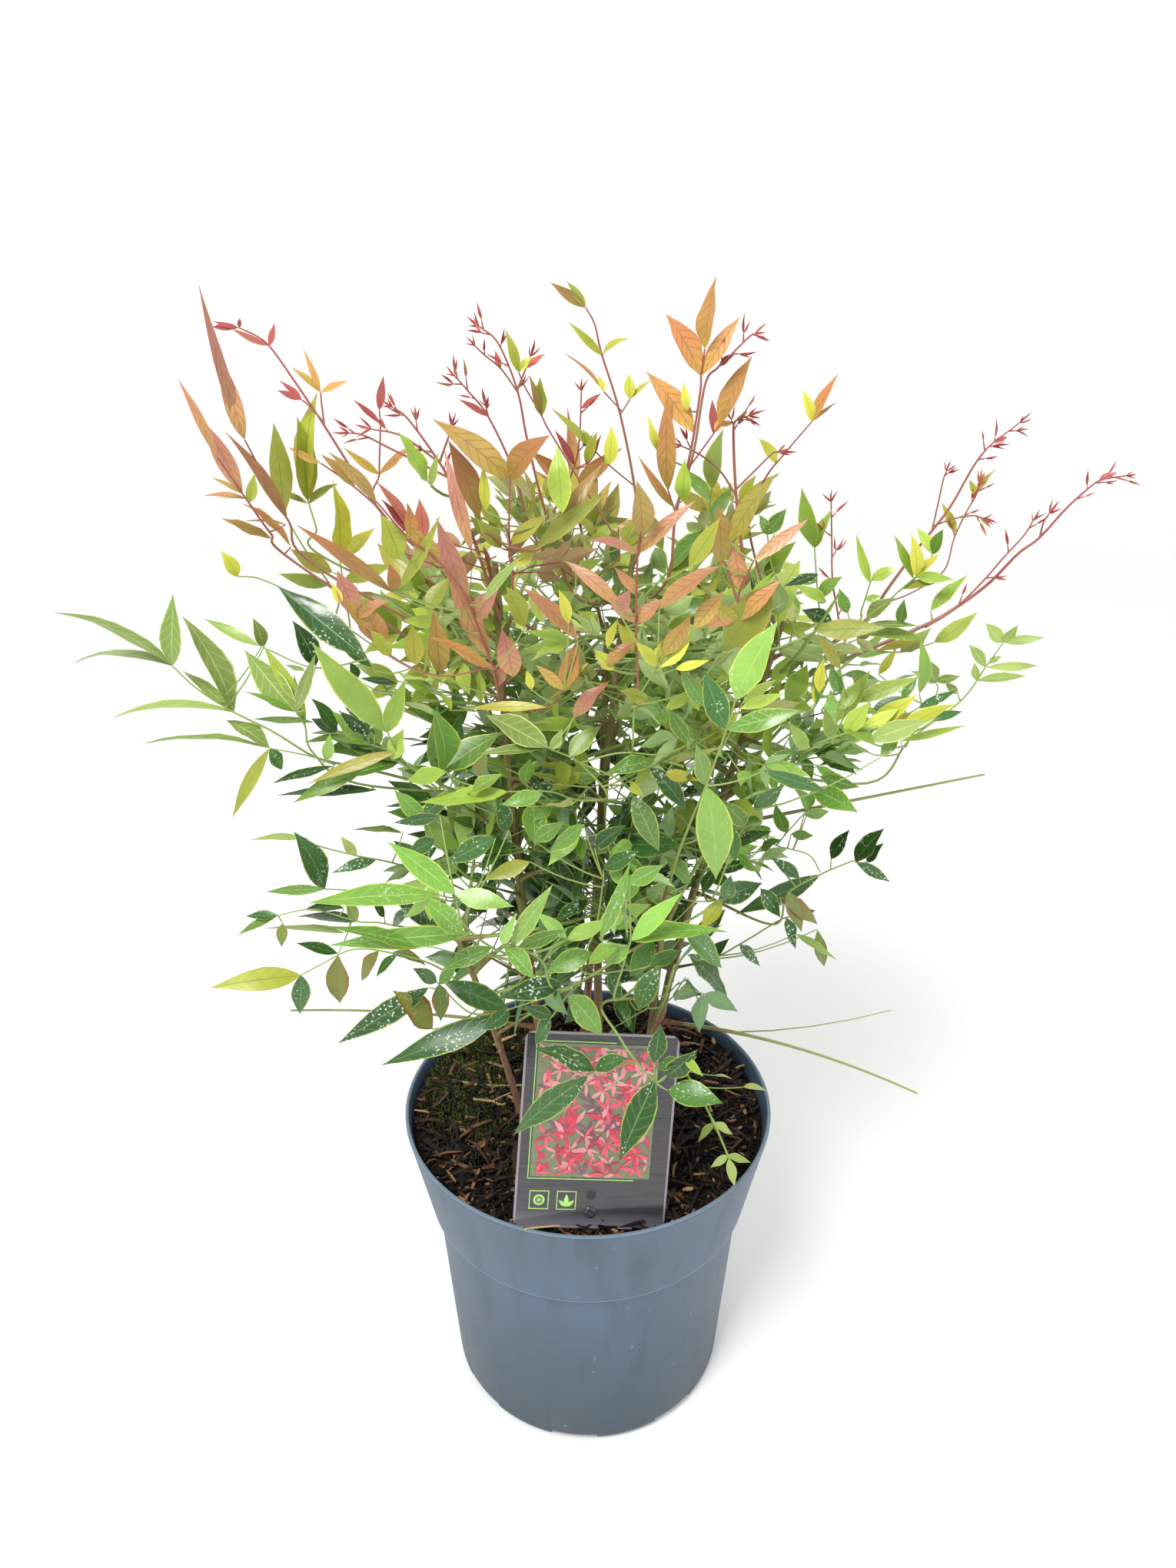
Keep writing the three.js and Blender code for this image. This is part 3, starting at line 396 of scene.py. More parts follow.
     "303 -172 306 5 50 20; scorched: -160 312 -162 297 8"),
    ("leaf_drooping_left", "green", 1, "low_left 268", -30, -24, "-77 298, -101 306, -121 307, "
     "-138 297, -150 289",
     "olive: -150 289 -199 279 12; dark: -150 288 -153 264 11, -96 308 -110 292 5; scorched: -127 302 "
     "-133 273 13, -106 306 -118 288 8, -101 305 -83 299 6"),
    ("leaf_bright_front_left", "bright", 1.3, "low_left 306", -72, -124, "-33 331, -46 352, "
     "-54 375, -54 399",
     "bright: -54 400 -78 426 11, -61 399 -115 397 9, -54 399 -30 394 9, -55 363 -73 381 11, -52 363 "
     "-115 360 11, -69 355 -116 363 8, -65 397 -76 385 5, -41 351 -68 338 9"),
    ("leaf_bright_front", "bright", 1.2, "low_front 322", -90, -130, "-11 328, -20 357, -31 379",
     "bright: -32 379 -14 408 8, -35 379 -30 395 5, -35 378 -22 363 13, -9 374 -22 386 6, -27 377 -8 "
     "383 7, 2 361 -19 352 10; green: -9 373 10 383 7; dark: -12 335 -41 330 11"),
    ("leaf_bright_front", "bright", 0.8, "", -110, -122, "-20 357, -9 381",
     ""),
    ("leaf_bright_front_right", "bright", 1.2, "low_front 296", -92, -120, "13 323, 15 350, 18 374",
     "bright: 5 375 19 412 6, 19 376 39 398 8, 21 374 58 381 9, 17 370 7 360 7; green: 13 370 0 360 "
     "7, 17 402 31 410 10; dark: 27 353 41 361 8"),
    ("leaf_bright_front_right", "bright", 0.8, "", -107, -116, "15 351, 8 364, 5 373",
     ""),
    ("leaf_hanging_front", "bright", 1.2, "low_front 344", -80, -98, "41 397, 50 432, 56 461",
     "green: 50 431 58 386 16, 51 431 45 451 8; bright: 59 474 75 506 13, 55 462 86 470 9; dark: 57 "
     "464 44 486 11, 73 440 102 431 7; lime: 61 470 78 478 5"),
    ("leaf_hanging_front", "bright", 0.8, "", -98, -96, "56 461, 59 473",
     ""),
    ("leaf_dark_right", "dark", 1.1, "right 312", -8, 18, "97 310, 105 325, 123 333, 140 337, 144 333",
     "dark: 123 333 79 308 12, 128 341 136 359 9, 143 333 157 354 11, 150 333 158 345 6, 143 332 164 "
     "320 7, 111 333 96 347 7"),
    ("leaf_dark_right", "dark", 0.8, "", 10, 16, "86 365, 97 348, 117 340, 125 328",
     "green: 115 368 107 381 7, 115 368 117 381 5, 113 364 126 367 7, 104 354 97 372 8, 107 353 119 "
     "351 6"),
    ("leaf_dark_right", "green", 0.6, "", 14, 14, "98 347, 107 356, 115 367",
     ""),
    ("leaf_over_label", "dark", 1.3, "low_front 276", -86, -128, "7 317, 14 309, 22 305, 30 305",
     "dark: 29 303 12 260 14, 35 301 60 295 15, 34 308 47 324 10, 30 313 42 318 8, 29 315 30 336 9; "
     "lime: 42 320 50 308 4"),
    ("leaf_over_label", "dark", 0.8, "", -114, -122, "22 305, 12 306, 3 307",
     "dark: 0 304 -37 274 13, 3 308 -23 322 9, 3 305 18 315 9"),
    ("leaf_over_label", "green", 1, "", -80, -96, "-4 326, -10 322, -17 316",
     "dark: -18 315 -25 301 7, -17 317 -30 323 7, 24 308 32 335 13; bright: -9 322 7 300 13"),
    ("leaf_dark_front_left", "dark", 1.2, "low_left 244", -60, -72, "-10 305, -19 306, -38 303",
     "dark: -38 303 -71 317 13, -43 299 -101 264 14, -37 302 -51 289 11"),
    ("leaf_dark_front_left", "dark", 1, "", -72, -78, "-38 303, -56 303, -71 323",
     "dark: -75 320 -121 287 12, -74 323 -82 331 10; scorched: -75 294 -91 319 14, -69 323 -70 300 9; "
     "green: -70 322 -61 332 9"),
    ("leaf_grey_front", "pale", 1.2, "left 388", -58, -72, "7 409, -3 430, -17 441",
     "pale: -17 441 -45 455 12, -17 440 -48 438 4 55 10, -7 436 5 451 9, -15 440 -11 450 6; rose: -6 "
     "455 6 471 7; green: 29 432 7 425 8, 20 414 33 385 11; dark: 27 428 45 408 9"),
    ("leaf_grey_front", "green", 0.8, "", -66, -66, "-3 430, 14 436, 29 435",
     ""),
    ("leaf_grey_front", "green", 0.8, "", -66, -66, "-3 430, 10 425, 20 418",
     ""),
    ("leaf_bronze_front", "lime", 0.9, "", -70, -74, "-17 419, -35 421",
     "lime: -35 421 -75 413 8; green: -51 421 -37 430 8"),
    ("leaf_bronze_front", "green", 0.9, "", -60, -62, "-46 414, -58 420, -64 426",
     "green: -64 426 -66 457 12, -63 427 -38 446 13; lime: -63 425 -81 419 8"),
    ("leaf_rose_front_left", "rose", 1.3, "left 452", -40, -84, "-39 448, -42 469, -47 490, "
     "-52 508, -62 524, -70 533, -81 550",
     "rose: -48 503 -64 537 9, -49 494 -37 507 11, -42 473 -59 515 10, -33 464 -36 487 13, -40 459 "
     "-35 471 10, -81 550 -96 570 5; bronze: -65 466 -69 495 10, -71 533 -70 548 7, -80 509 -117 537 "
     "6, -79 510 -80 522 10, -60 521 -72 538 8; olive: -75 525 -80 544 10, -78 510 -57 540 5, -75 471 "
     "-76 490 10"),
    ("leaf_rose_front_left", "bronze", 0.7, "", -66, -74, "-40 476, -63 473, -82 483, -94 500",
     "rose: -94 500 -101 520 11, -95 498 -81 508 4 50 60; bronze: -92 506 -83 487 13, -39 471 -62 488 "
     "5, -87 496 -99 509 8; orange: -43 476 -67 490 5 50 40; yellow: -100 506 -103 515 4; olive: -82 "
     "482 -90 495 8"),
    ("leaf_rose_front_left", "bronze", 0.7, "", -50, -70, "-38 452, -20 454, -10 467",
     "bronze: -10 467 -4 489 11, -11 467 -22 479 5, -6 453 9 470 7, 7 478 20 489 6; yellow: -9 469 0 "
     "480 3, -24 465 -26 474 4, 8 486 12 499 4, -8 496 -12 511 5; olive: 11 476 2 485 7, -26 495 -34 "
     "512 12, -69 495 -58 510 10, -17 454 -52 456 5; rose: -4 489 -28 511 7 40 60; pale: -69 483 -54 "
     "496 5, -43 506 -27 526 4"),
    ("leaf_yellow_front", "yellow", 1, "centre 424", -60, -90, "19 433, 20 462, 28 485",
     "yellow: 26 484 32 499 11, 30 485 43 500 11, 27 488 19 496 5, 35 484 49 488 4; bronze: 30 490 41 "
     "507 8, 42 501 54 516 8; rose: 28 509 52 526 8 40 50, 13 509 -8 530 6, 12 508 17 517 7; olive: "
     "39 526 51 545 8, 26 463 13 470 6; green: 49 464 38 483 8"),
    ("leaf_yellow_front", "green", 0.8, "", -80, -60, "20 464, 43 467, 58 481",
     "olive: 58 482 75 513 19, 96 490 126 492 9, 108 473 96 489 5; lime: 66 459 81 470 5; pale: 53 "
     "475 62 482 5; yellow: 100 462 101 478 5; green: 44 443 33 459 7"),
    ("leaf_dark_inner_centre", "green", 1, "low_front 300", -60, -76, "-2 316, 4 348, 7 378",
     "dark: -41 399 -64 387 10, -35 403 -41 418 10, 3 394 17 406 8, 7 383 23 393 8, 62 407 65 387 9, "
     "63 366 65 379 8, 65 338 86 350 13, 57 343 64 358 10, 86 345 97 328 10, 49 320 69 297 11, 33 318 "
     "22 295 12, 10 306 16 290 7, -65 410 -86 407 6; green: -24 398 -10 407 8, -20 421 -38 414 8, -2 "
     "406 -18 391 8; olive: -26 387 -47 378 8, 67 338 58 320 10; scorched: 96 340 116 323 8, 100 343 "
     "108 319 9"),
    ("leaf_dark_inner_left", "green", 1, "left 318", -30, -50, "-58 351, -71 375, -76 397",
     "green: -75 395 -90 409 9, -61 362 -79 353 9; dark: -71 381 -86 371 9, -76 397 -63 409 9"),
    ("leaf_dark_inner_right", "green", 1, "right 322", -30, -60, "61 338, 69 377, 75 406",
     "dark: 75 406 88 418 8, 70 380 87 386 7; green: 72 395 59 407 9, 50 354 36 369 10"),
    ("leaf_lime_left", "green", 0.8, "", -24, -18, "-72 400, -94 416, -110 421, -120 426",
     "dark: -119 427 -131 442 8, -101 425 -114 440 5, -103 415 -116 422 6, -89 451 -106 454 4, -108 "
     "452 -110 461 5, -104 425 -118 437 7, -101 416 -113 424 8, -118 427 -131 433 7; green: -105 422 "
     "-120 438 8, -115 424 -136 421 3 50 10, -100 458 -116 471 5, -130 430 -160 431 3 55 10, -101 421 "
     "-129 424 3 50 10; pale: -132 456 -141 459 3 50 5"),
    ("leaf_dark_left", "green", 0.8, "", -10, -4, "-59 376, -75 379, -81 383",
     "dark: -81 383 -101 391 9, -81 382 -103 376 3, -64 405 -61 430 9; green: -74 395 -92 397 8, -73 "
     "394 -74 433 13, -58 399 -81 408 5; lime: -58 391 -84 378 9"),
    ("leaf_lime_right", "lime", 0.9, "", -46, -52, "103 431, 116 438, 129 443",
     "lime: 114 441 124 454 9, 130 435 113 442 6, 112 449 120 463 7, 122 441 139 450 6; pale: 126 435 "
     "151 447 10; green: 132 427 140 439 6, 123 424 121 435 5"),
    ("leaf_lime_right", "green", 0.8, "", -20, -14, "131 425, 149 432, 159 437",
     "dark: 157 436 175 445 5, 165 429 178 435 5, 134 437 151 445 6; green: 148 441 154 453 5, 157 "
     "443 155 471 6"),
    ("leaf_lime_upper_right", "lime", 0.8, "", 10, 6, "113 427, 119 444, 125 463, 139 467",
     "lime: 112 428 115 453 7, 162 464 127 466 5 55 10, 113 482 97 491 6; yellow: 116 426 112 449 5; "
     "bright: 122 419 119 436 9; green: 125 434 118 450 7, 149 471 151 483 6, 124 476 118 488 6; "
     "olive: 129 463 107 471 9; pale: 158 470 131 471 3 55 10, 133 474 145 485 9; dark: 117 472 102 "
     "478 8, 108 495 93 488 5"),
    ("leaf_dark_right_low", "dark", 1, "right 262", -4, -8, "66 285, 84 298, 103 313, 111 314",
     "dark: 104 313 110 293 7, 66 283 75 299 7, 54 286 77 259 11, 81 297 93 282 6, 108 314 119 319 6; "
     "pale: 110 304 133 286 5; scorched: 121 307 126 283 7"),
]
CANE_GIRTH = 0.82  # the skin's radius as a share of the solid's, which takes in the sheaths
CROWDING = 3.0  # least gap between the middle lines of two leaflets
CLEAR_VIEW = 6.5  # how far a grown leaflet keeps off the sight of a placed one
RED_REACH = 9.0  # longest side stalk that is red where its leaf is
SNAP = 4.0  # a placed leaflet's root this near its stalk sits on it
DEPTH_DRAW = 0.9  # spread of a placed tip along the line of sight, as a share of its length
CANE_GAP = 4.5  # least gap between a grown leaflet and a cane's middle line
RIM_RADIUS, LOWEST_INSIDE, LOWEST_OUTSIDE = 92, 186, 191  # grown leaflets keep off the pot
CARD_ROOM = (43, 108, 3.5)  # and off the card: half width, height, half depth of its room
CLAW_STEP = 11.0  # way along a shoot from one of its short side stalks to the next
STALK_SHARE = 0.66  # a placed stalk's radius as a share of the table's
OVERHANG = 6.0  # how far the fine growth may pass the solids' box
RACHIS_RINGS = 36
RACHIS_TIP = 0.55  # radius at the end of a rachis
STALK_RINGS = 5
SIDE_STALK = (0.48, 0.2)  # radius at a side stalk's foot, and how much less it is at its end
THIN_END, TAPER = 0.34, 0.8  # radius at the end of a placed stalk, power of a rachis's taper
KNUCKLES = (0.35, 2.2)  # height and half length of the swellings at a rachis's joints
# How far the halves of a kind's leaflets fold up along the rib, in radians, and how far a
# tint's leaflets bend back.
FOLDS = {"broad": 0.25, "long": 0.4, "sprig": 0.2}
CURLS = {
    "bronze": 0.35, "olive": 0.35, "yellow": 0.3, "lime": 0.35, "bright": 0.4, "green": 0.45,
    "dark": 0.4, "pale": 0.45,
}
# How much the leaflets of a tint turn up towards the light.
RISES = {"bronze": 0.4, "olive": 0.35, "yellow": 0.3, "lime": 0.15}
SPRAY_ABOVE = 22.0  # leaflets longer than this grow as a small spray of three
SPRAY_STALK = 0.4  # length of a spray's stalk, of the leaflet that it stands for
SPRAY_SIZES = (0.62, 0.52)  # lengths of its middle and side leaflets, of the same leaflet
SPRAY_ROLL = 150  # range in degrees of a spray's turn about its stalk
# Where a blade has points, along it and across it, and its thickness.
BLADE_STATIONS = np.array([0.05, 0.14, 0.26, 0.4, 0.55, 0.7, 0.83, 0.93])
BLADE_COLUMNS = np.array([-1.0, 0.0, 1.0])
BLADE_THICK = 0.35
CANE_STEP = 2.2  # height between the rings of points of a cane's skin
CANE_FLARE = (0.7, 5.0)  # how much wider a cane's foot is, and the height at which it fades
JOINT_GAPS = (24, 46, 9)  # gaps between a cane's joints at foot and head, and how many
JOINT_RISE, BUMP_RISE = 0.32, 0.18  # height of the rings at the joints, and of the bumps
# How a sheath clasps its cane, point by point: how far below its node, its lean outwards,
# its share of the cane's radius; then its way along the rachis and its thickness there.
CLASP_DROPS = np.array([26.0, 19.0, 12.0, 6.0, 1.5])
CLASP_LEANS = np.array([0.1, 0.25, 0.45, 0.6, 0.8])
CLASP_SIZES = np.array([0.5, 0.8, 0.9, 0.96, 0.94])
SHEATH_RUN, SHEATH_SIZES = np.array([3.0, 8.0, 15.0]), np.array([1.45, 1.2, 0.95])

# The label: how far it leans back, is turned and is rolled, in degrees, and its card's foot.
LABEL_LEAN, LABEL_YAW, LABEL_ROLL = 18, 5.7, 6.0
LABEL_FOOT = np.array([4.0, -91.0, 180.0])
# On the card: its width and height, the picture's left, right, low and high side, how many
# rosettes across and up, left sides and heights of the signs, and width of the thin lines.
CARD_SIZE = (78, 104)
PICTURE = (-32.0, 29.0, 27.5, 98.0)
ROSETTES = (7, 12)
SIGNS, SIGN_HEIGHTS = (-31.5, -17.5), (10, 20)
PRINT_LINE = 0.45
# The inks, and which of them the upper and the lower rosettes are mixed from. The upper
# rosettes take paler inks as a painted reflection on the glossy film.
INKS = ("#6f7558", "#c62f4a", "#d84f64", "#d48a8e", "#a22f45", "#6d4c58", "#c9a39a")
PRINT_WITH_PAINTED_REFLECTION, DEEP_PRINT = (2, 3, 6, 3, 1, 5), (1, 2, 4, 1, 5, 2, 3)
# Profiles (radius, height) of the peg's button and of the spare hole's rim, and how far up
# the card the button is.
BUTTON = [(0, 0.6), (3.1, 0.6), (3.1, 1.3), (2.7, 1.75), (1.7, 1.95), (1.5, 1.7), (1.3, 1.0), (0, 0.9)]
# The spare hole's profile is closed across the middle: a dark disc of painted shade fills it.
HOLE_RIM = [(0, 0.7), (2.5, 0.7), (2.5, 0.95), (1.9, 1.05), (1.5, 0.9), (0, 0.85)]
RIVET_UP = 9.0

# Profile of the pot: down to the foot outside, up the wall, over the rim, down inside.
POT_CORNERS_OUT = [
    (69.6, 0), (74, 0), (77.5, 0.5), (80, 2.2), (81.3, 4.6), (81.6, 7), (85.5, 66), (89.4, 124.5),
    (89.6, 126.2), (90.2, 127.2), (92.4, 127.9), (93.2, 128.6), (93.5, 130), (98.8, 157),
    (104.2, 184.2), (104.6, 185.6), (104.6, 186.6), (104.2, 187.3), (103.6, 187.5),
]
POT_CORNERS_IN = [
    (103, 187.4), (102.6, 186.9), (102.3, 185.5), (96.9, 158), (91.6, 131), (91.2, 129.4),
    (88.2, 127), (87.6, 125.5), (83.7, 68), (79.8, 12), (78.6, 9.8), (76, 9),
]
POT_PROFILE = [(0, 0), (69.5, 0), *POT_CORNERS_OUT, *POT_CORNERS_IN, (0, 9)]
POT_OUTER_COUNT = 1 + len(POT_CORNERS_OUT)
POT_SIDES, FOOT_RADIUS = 200, 78  # points round the pot, and where its notches are measured
# Drain notches: how many, direction of the first, width, height, radius they reach in to.
NOTCHES = (8, -96, 27, 6, 69.55)
# Painted shade: the wall darkens towards the foot to these shares of its colour; the drag marks take the
# same colour.
POT_DEEP = (0.58, 0.6, 0.55)  # the plastic's colour in its shaded places, as shares
# Lines round the pot: height in metres, strength, colour. The pale line at the collar's
# ledge is a painted highlight and the dark one just under it a painted shadow; the last is a
# pale line at the rim's top.
POT_LINES = [(0.1282, 0.8, "#a9bac8"), (0.1271, 0.75, "#3d4d5a"), (0.1872, 0.35, "#8fa1b0")]
# Marks on the pot: how fine, how drawn out (x, y, z), largest size, colour.
POT_SCUFFS = [
    (70.0, (1, 1, 1.3), 0.12, "#9fadb7"), (170.0, (1, 1, 0.7), 0.2, "#8797a3"),
    (60.0, (1, 1, 0.16), 0.12, "#8d9dab"), (75.0, (0.25, 0.25, 1.4), 0.1, "#2f3c48"),
]

# The fill: radius, height of its underside, how far it is banked up, and its noise as
# height, size, shift and seed.
BED_RADIUS, BED_FLOOR, BED_BANK = 100.2, 150.0, 4.6
BED_NOISE = ((2.6, 9, 20, 11), (1.4, 3, 30, 12))
# Shades of the bark and how often each comes.
BARK_SHADES = ("#0e0b08", "#1b130d", "#352418", "#6a4932", "#b08a60")
BARK_ODDS = (0.36, 0.27, 0.19, 0.12, 0.06)
BARK_REACH = 97.5  # how far from the middle the bark is strewn
# Layers of bark over the peat: count, lengths, widths, thickness, spread of the layer.
SHREDS = [
    (2100, (5, 25), (0.9, 3.1), 0.8, 2.8),
    (2600, (1.2, 4), (0.7, 1.8), 0.9, 1.6),
]
# Moss: middle and spread of each patch.
MOSS_PATCHES = [
    (-84, 16, 8), (-76, 38, 12), (-66, 58, 12), (-48, 76, 10), (-70, 48, 16), (-34, 88, 6), (-62, 18, 15),
    (-52, -16, 14), (-70, -8, 10),
]
# Straws that lie on the fill: knots, radius at the thick end, finish number.
LOOSE_STALKS = [
    ([(-83, 20, 183), (-60, 17, 181.5), (-33, 18, 181)], 1.0, 0),
    ([(-67, 5, 181.5), (-56, 3, 181.6), (-50, 0, 181.8), (-40, 5, 181.4)], 0.8, 1),
    ([(-56, 3, 181.6), (-50, 7, 181.8), (-44, 12, 181.2)], 0.6, 1),
    ([(-32, -99, 187.4), (-24, -96, 185.6), (-12.8, -91.8, 182.4)], 0.7, 1),
    ([(40, -74, 181), (30, -66, 182), (18, -62, 181.2)], 0.7, 1),
    ([(70, 20, 180.8), (60, 32, 182), (44, 40, 181)], 0.6, 1),
]

# The camera: focal length in millimetres, and how far it looks down in degrees.
CAMERA_LENS = 27.646
CAMERA_PITCH = 26.08
# Where the lamps aim, and each lamp's place and size, in metres.
LAMP_TARGET = (0.0, 0.0, 0.32)
KEY_LAMP, FILL_LAMP = ((-0.7, -1.2, 2.2), 0.8), ((1.5, -0.9, 1.3), 1.6)


# --------------------------------------------------------------------- small helpers
def linear(colour):
    """An sRGB hex colour as linear red, green, blue and alpha."""
    parts = [int(colour[i : i + 2], 16) / 255 for i in (1, 3, 5)]
    return (*[p / 12.92 if p <= 0.04045 else ((p + 0.055) / 1.055) ** 2.4 for p in parts], 1.0)


def unit(vectors):
    """Vectors divided by their own length."""
    vectors = np.asarray(vectors, float)
    return vectors / np.maximum(np.linalg.norm(vectors, axis=-1, keepdims=True), 1e-12)


def even_angles(count):
    """Angles at even steps round a circle."""
    return np.arange(count) / count * 2 * math.pi


def ring_faces(rows, columns, flip=False):
    """For closed rings of points, one after the other: the number of each point and of the
    next one in its ring, the faces between the rings, and the two flat ends."""
    index = np.arange(rows * columns).reshape(rows, columns)
    ahead = np.roll(index, -1, axis=1)
    corners = [index[:-1], ahead[:-1], ahead[1:], index[1:]]
    if flip:
        corners = corners[:1] + corners[:0:-1]
    return index, ahead, np.stack(corners, -1).reshape(-1, 4), np.stack([index[0, ::-1], index[-1]])


def turned(profile, angles):
    """Rings of points (r cos a, r sin a, z), for each (r, z) of a profile and each angle."""
    ring = np.stack([np.cos(angles), np.sin(angles)], -1)
    height = np.broadcast_to(profile[:, None, 1:], (len(profile), len(angles), 1))
    return np.concatenate([profile[:, None, :1] * ring[None], height], -1)


def point_on(curve, share):
    """The point of a path at a share of its knots."""
    place = np.linspace(0, 1, len(curve))
    return np.array([np.interp(share, place, curve[:, axis]) for axis in range(3)])


def rectangle(x0, x1, y0, y1):
    """The corners of an upright rectangle, from its lower left corner round."""
    return np.array([[x0, y0], [x1, y0], [x1, y1], [x0, y1]], float)


def scaled(colour, share):
    """A colour made darker or lighter: each part times a share, at most 1."""
    return [min(1, part * share) for part in colour[:3]] + [1.0]


def mulberry(seed):
    """Repeatable numbers from 0 to 1, the ones that the solids are grown from."""
    state = [seed & MASK]

    def draw():
        state[0] = (state[0] + 0x6D2B79F5) & MASK
        mixed = ((state[0] ^ (state[0] >> 15)) * (state[0] | 1)) & MASK
        mixed ^= (mixed + (((mixed ^ (mixed >> 7)) * (mixed | 61)) & MASK)) & MASK
        return ((mixed ^ (mixed >> 14)) & MASK) / 4294967296

    return draw


def value_noise(x, y, seed):
    """Smooth noise from 0 to 1: random values at whole numbers, blended with 3s2 - 2s3."""
    table = np.random.RandomState(seed).rand(64, 64)
    i, j = np.floor(x).astype(int), np.floor(y).astype(int)
    fx, fy = x - i, y - j
    fx, fy = fx * fx * (3 - 2 * fx), fy * fy * (3 - 2 * fy)
    low = table[i % 64, j % 64] * (1 - fx) + table[(i + 1) % 64, j % 64] * fx
    high = table[i % 64, (j + 1) % 64] * (1 - fx) + table[(i + 1) % 64, (j + 1) % 64] * fx
    return low * (1 - fy) + high * fy


def add(tree, kind, sockets=None, out=0, **settings):
    """Adds a shader node with its settings, sets or links its sockets, and returns one of
    its outputs, or all of them where out is None."""
    made = tree.nodes.new("ShaderNode" + kind)
    for name, value in settings.items():
        setattr(made, name, value)
    for name, value in (sockets or {}).items():
        if isinstance(value, bpy.types.NodeSocket):
            tree.links.new(value, made.inputs[name])
        else:
            made.inputs[name].default_value = value
    return made.outputs if out is None else made.outputs[out]


def new_material(name, roughness, **sockets):
    """A material, its node tree and its shader, with the shader's plain numbers set."""
    material = bpy.data.materials.new(name)
    material.use_nodes = True
    tree = material.node_tree
    shader = tree.nodes["Principled BSDF"]
    shader.inputs["Roughness"].default_value = roughness
    for socket, value in sockets.items():
        shader.inputs[socket.replace("_", " ")].default_value = value
    return material, tree, shader


def blended(tree, factor, first, second):
    """The colour output of a node that mixes two colours."""
    return add(tree, "Mix", {0: factor, 6: first, 7: second}, 2, data_type="RGBA")


def dress(tree, shader, colour, height=None, strength=0.0, depth=0.0, **settings):
    """Links a colour to the shader, and a height that gives its surface a fine relief."""
    tree.links.new(colour, shader.inputs["Base Color"])
    if height is not None:
        sockets = {"Height": height, "Strength": strength, "Distance": depth}
        tree.links.new(add(tree, "Bump", sockets, **settings), shader.inputs["Normal"])


class Patchwork:
    """Points, faces, finishes and surface places that are gathered into one mesh."""

    def __init__(self):
        self.points, self.uvs, self.tones, self.groups, self.count = [], [], [], {}, 0

    def put(self, points, groups, uv=None, tone=0.5):
        """Adds points, and groups of faces as (index array, finish number or numbers)."""
        points = np.asarray(points, float).reshape(-1, 3)
        self.points.append(points)
        self.uvs.append(np.zeros((len(points), 2)) if uv is None else np.reshape(uv, (-1, 2)))
        self.tones.append(np.broadcast_to(np.asarray(tone, float), len(points)))
        for faces, finish in groups:
            faces = np.asarray(faces, int)
            numbers = np.broadcast_to(np.asarray(finish, int), len(faces))
            self.groups.setdefault(faces.shape[1], []).append((faces + self.count, numbers))
        self.count += len(points)

    def put_rings(self, points, rows, finish, **places):
        """Adds closed rings of points, one after the other, as one limb with flat ends."""
        _, _, sides, caps = ring_faces(rows, len(points) // rows)
        self.put(points, [(sides, finish), (caps, finish)], **places)

    def put_tubes(self, paths, radii, sides, reference, finish=0):
        """Adds round limbs along many paths."""
        points, quads, caps, place = tubes(paths, radii, sides, reference)
        self.put(points, [(quads, finish), (caps, finish)], uv=place)

    def build(self, name, finishes, nodes, crease=50):
        """Makes the mesh object, lets it ride on the plant, and hides the solids that it stands for."""
        points = np.concatenate(self.points) * MM
        sizes = sorted(self.groups)
        faces = [np.concatenate([part for part, _ in self.groups[size]]) for size in sizes]
        numbers = np.concatenate([n for size in sizes for _, n in self.groups[size]])
        corners = np.concatenate([group.ravel() for group in faces]).astype(np.int32)
        counts = np.concatenate([np.full(len(group), size) for group, size in zip(faces, sizes)])
        starts = np.concatenate([[0], np.cumsum(counts)[:-1]]).astype(np.int32)
        mesh = bpy.data.meshes.new(name)
        mesh.vertices.add(len(points))
        mesh.vertices.foreach_set("co", points.astype(np.float32).ravel())
        mesh.loops.add(len(corners))
        mesh.loops.foreach_set("vertex_index", corners)
        mesh.polygons.add(len(starts))
        mesh.polygons.foreach_set("loop_start", starts)
        mesh.polygons.foreach_set("material_index", numbers.astype(np.int32))
        mesh.polygons.foreach_set("use_smooth", np.ones(len(starts), bool))
        mesh.update(calc_edges=True)
        layer = mesh.uv_layers.new(name="UVMap")
        layer.data.foreach_set("uv", np.concatenate(self.uvs)[corners].astype(np.float32).ravel())
        tones = mesh.attributes.new("tone", "FLOAT", "POINT")
        tones.data.foreach_set("value", np.concatenate(self.tones).astype(np.float32))
        mesh.set_sharp_from_angle(angle=math.radians(crease))
        if mesh.validate():
            raise RuntimeError(name + " had faulty faces")
        for finish in finishes:
            mesh.materials.append(finish)
        piece = bpy.data.objects.new(name, mesh)
        bpy.context.scene.collection.objects.link(piece)
        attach(piece, "root")
        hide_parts(*nodes)


def tubes(paths, radii, sides, reference):
    """Round limbs along many paths at once. A point lies at the path's point plus the
    radius times (cos a) across plus (sin a) other, both square to the path there."""
    paths, radii = np.asarray(paths, float), np.asarray(radii, float)
    count, rings = radii.shape
    along = unit(np.gradient(paths, axis=1))
    reference = np.broadcast_to(reference, (count, 3))[:, None, :]
    across = unit(reference - along * (reference * along).sum(-1, keepdims=True))
    other = np.cross(along, across)
    angle = even_angles(sides)
    spokes = (
        np.cos(angle)[:, None] * across[:, :, None, :] + np.sin(angle)[:, None] * other[:, :, None, :]
    )
    points = paths[:, :, None, :] + radii[:, :, None, None] * spokes
    index = np.arange(count * rings * sides).reshape(count, rings, sides)
    ahead = np.roll(index, -1, axis=2)
    quads = np.stack([index[:, :-1], ahead[:, :-1], ahead[:, 1:], index[:, 1:]], -1).reshape(-1, 4)
    caps = np.concatenate([index[:, 0, ::-1], index[:, -1]])
    turn = np.broadcast_to(np.arange(sides) / sides, (count, rings, sides))
    run = np.broadcast_to(np.linspace(0, 1, rings)[None, :, None], (count, rings, sides))
    return points.reshape(-1, 3), quads, caps, np.stack([turn, run], -1).reshape(-1, 2)


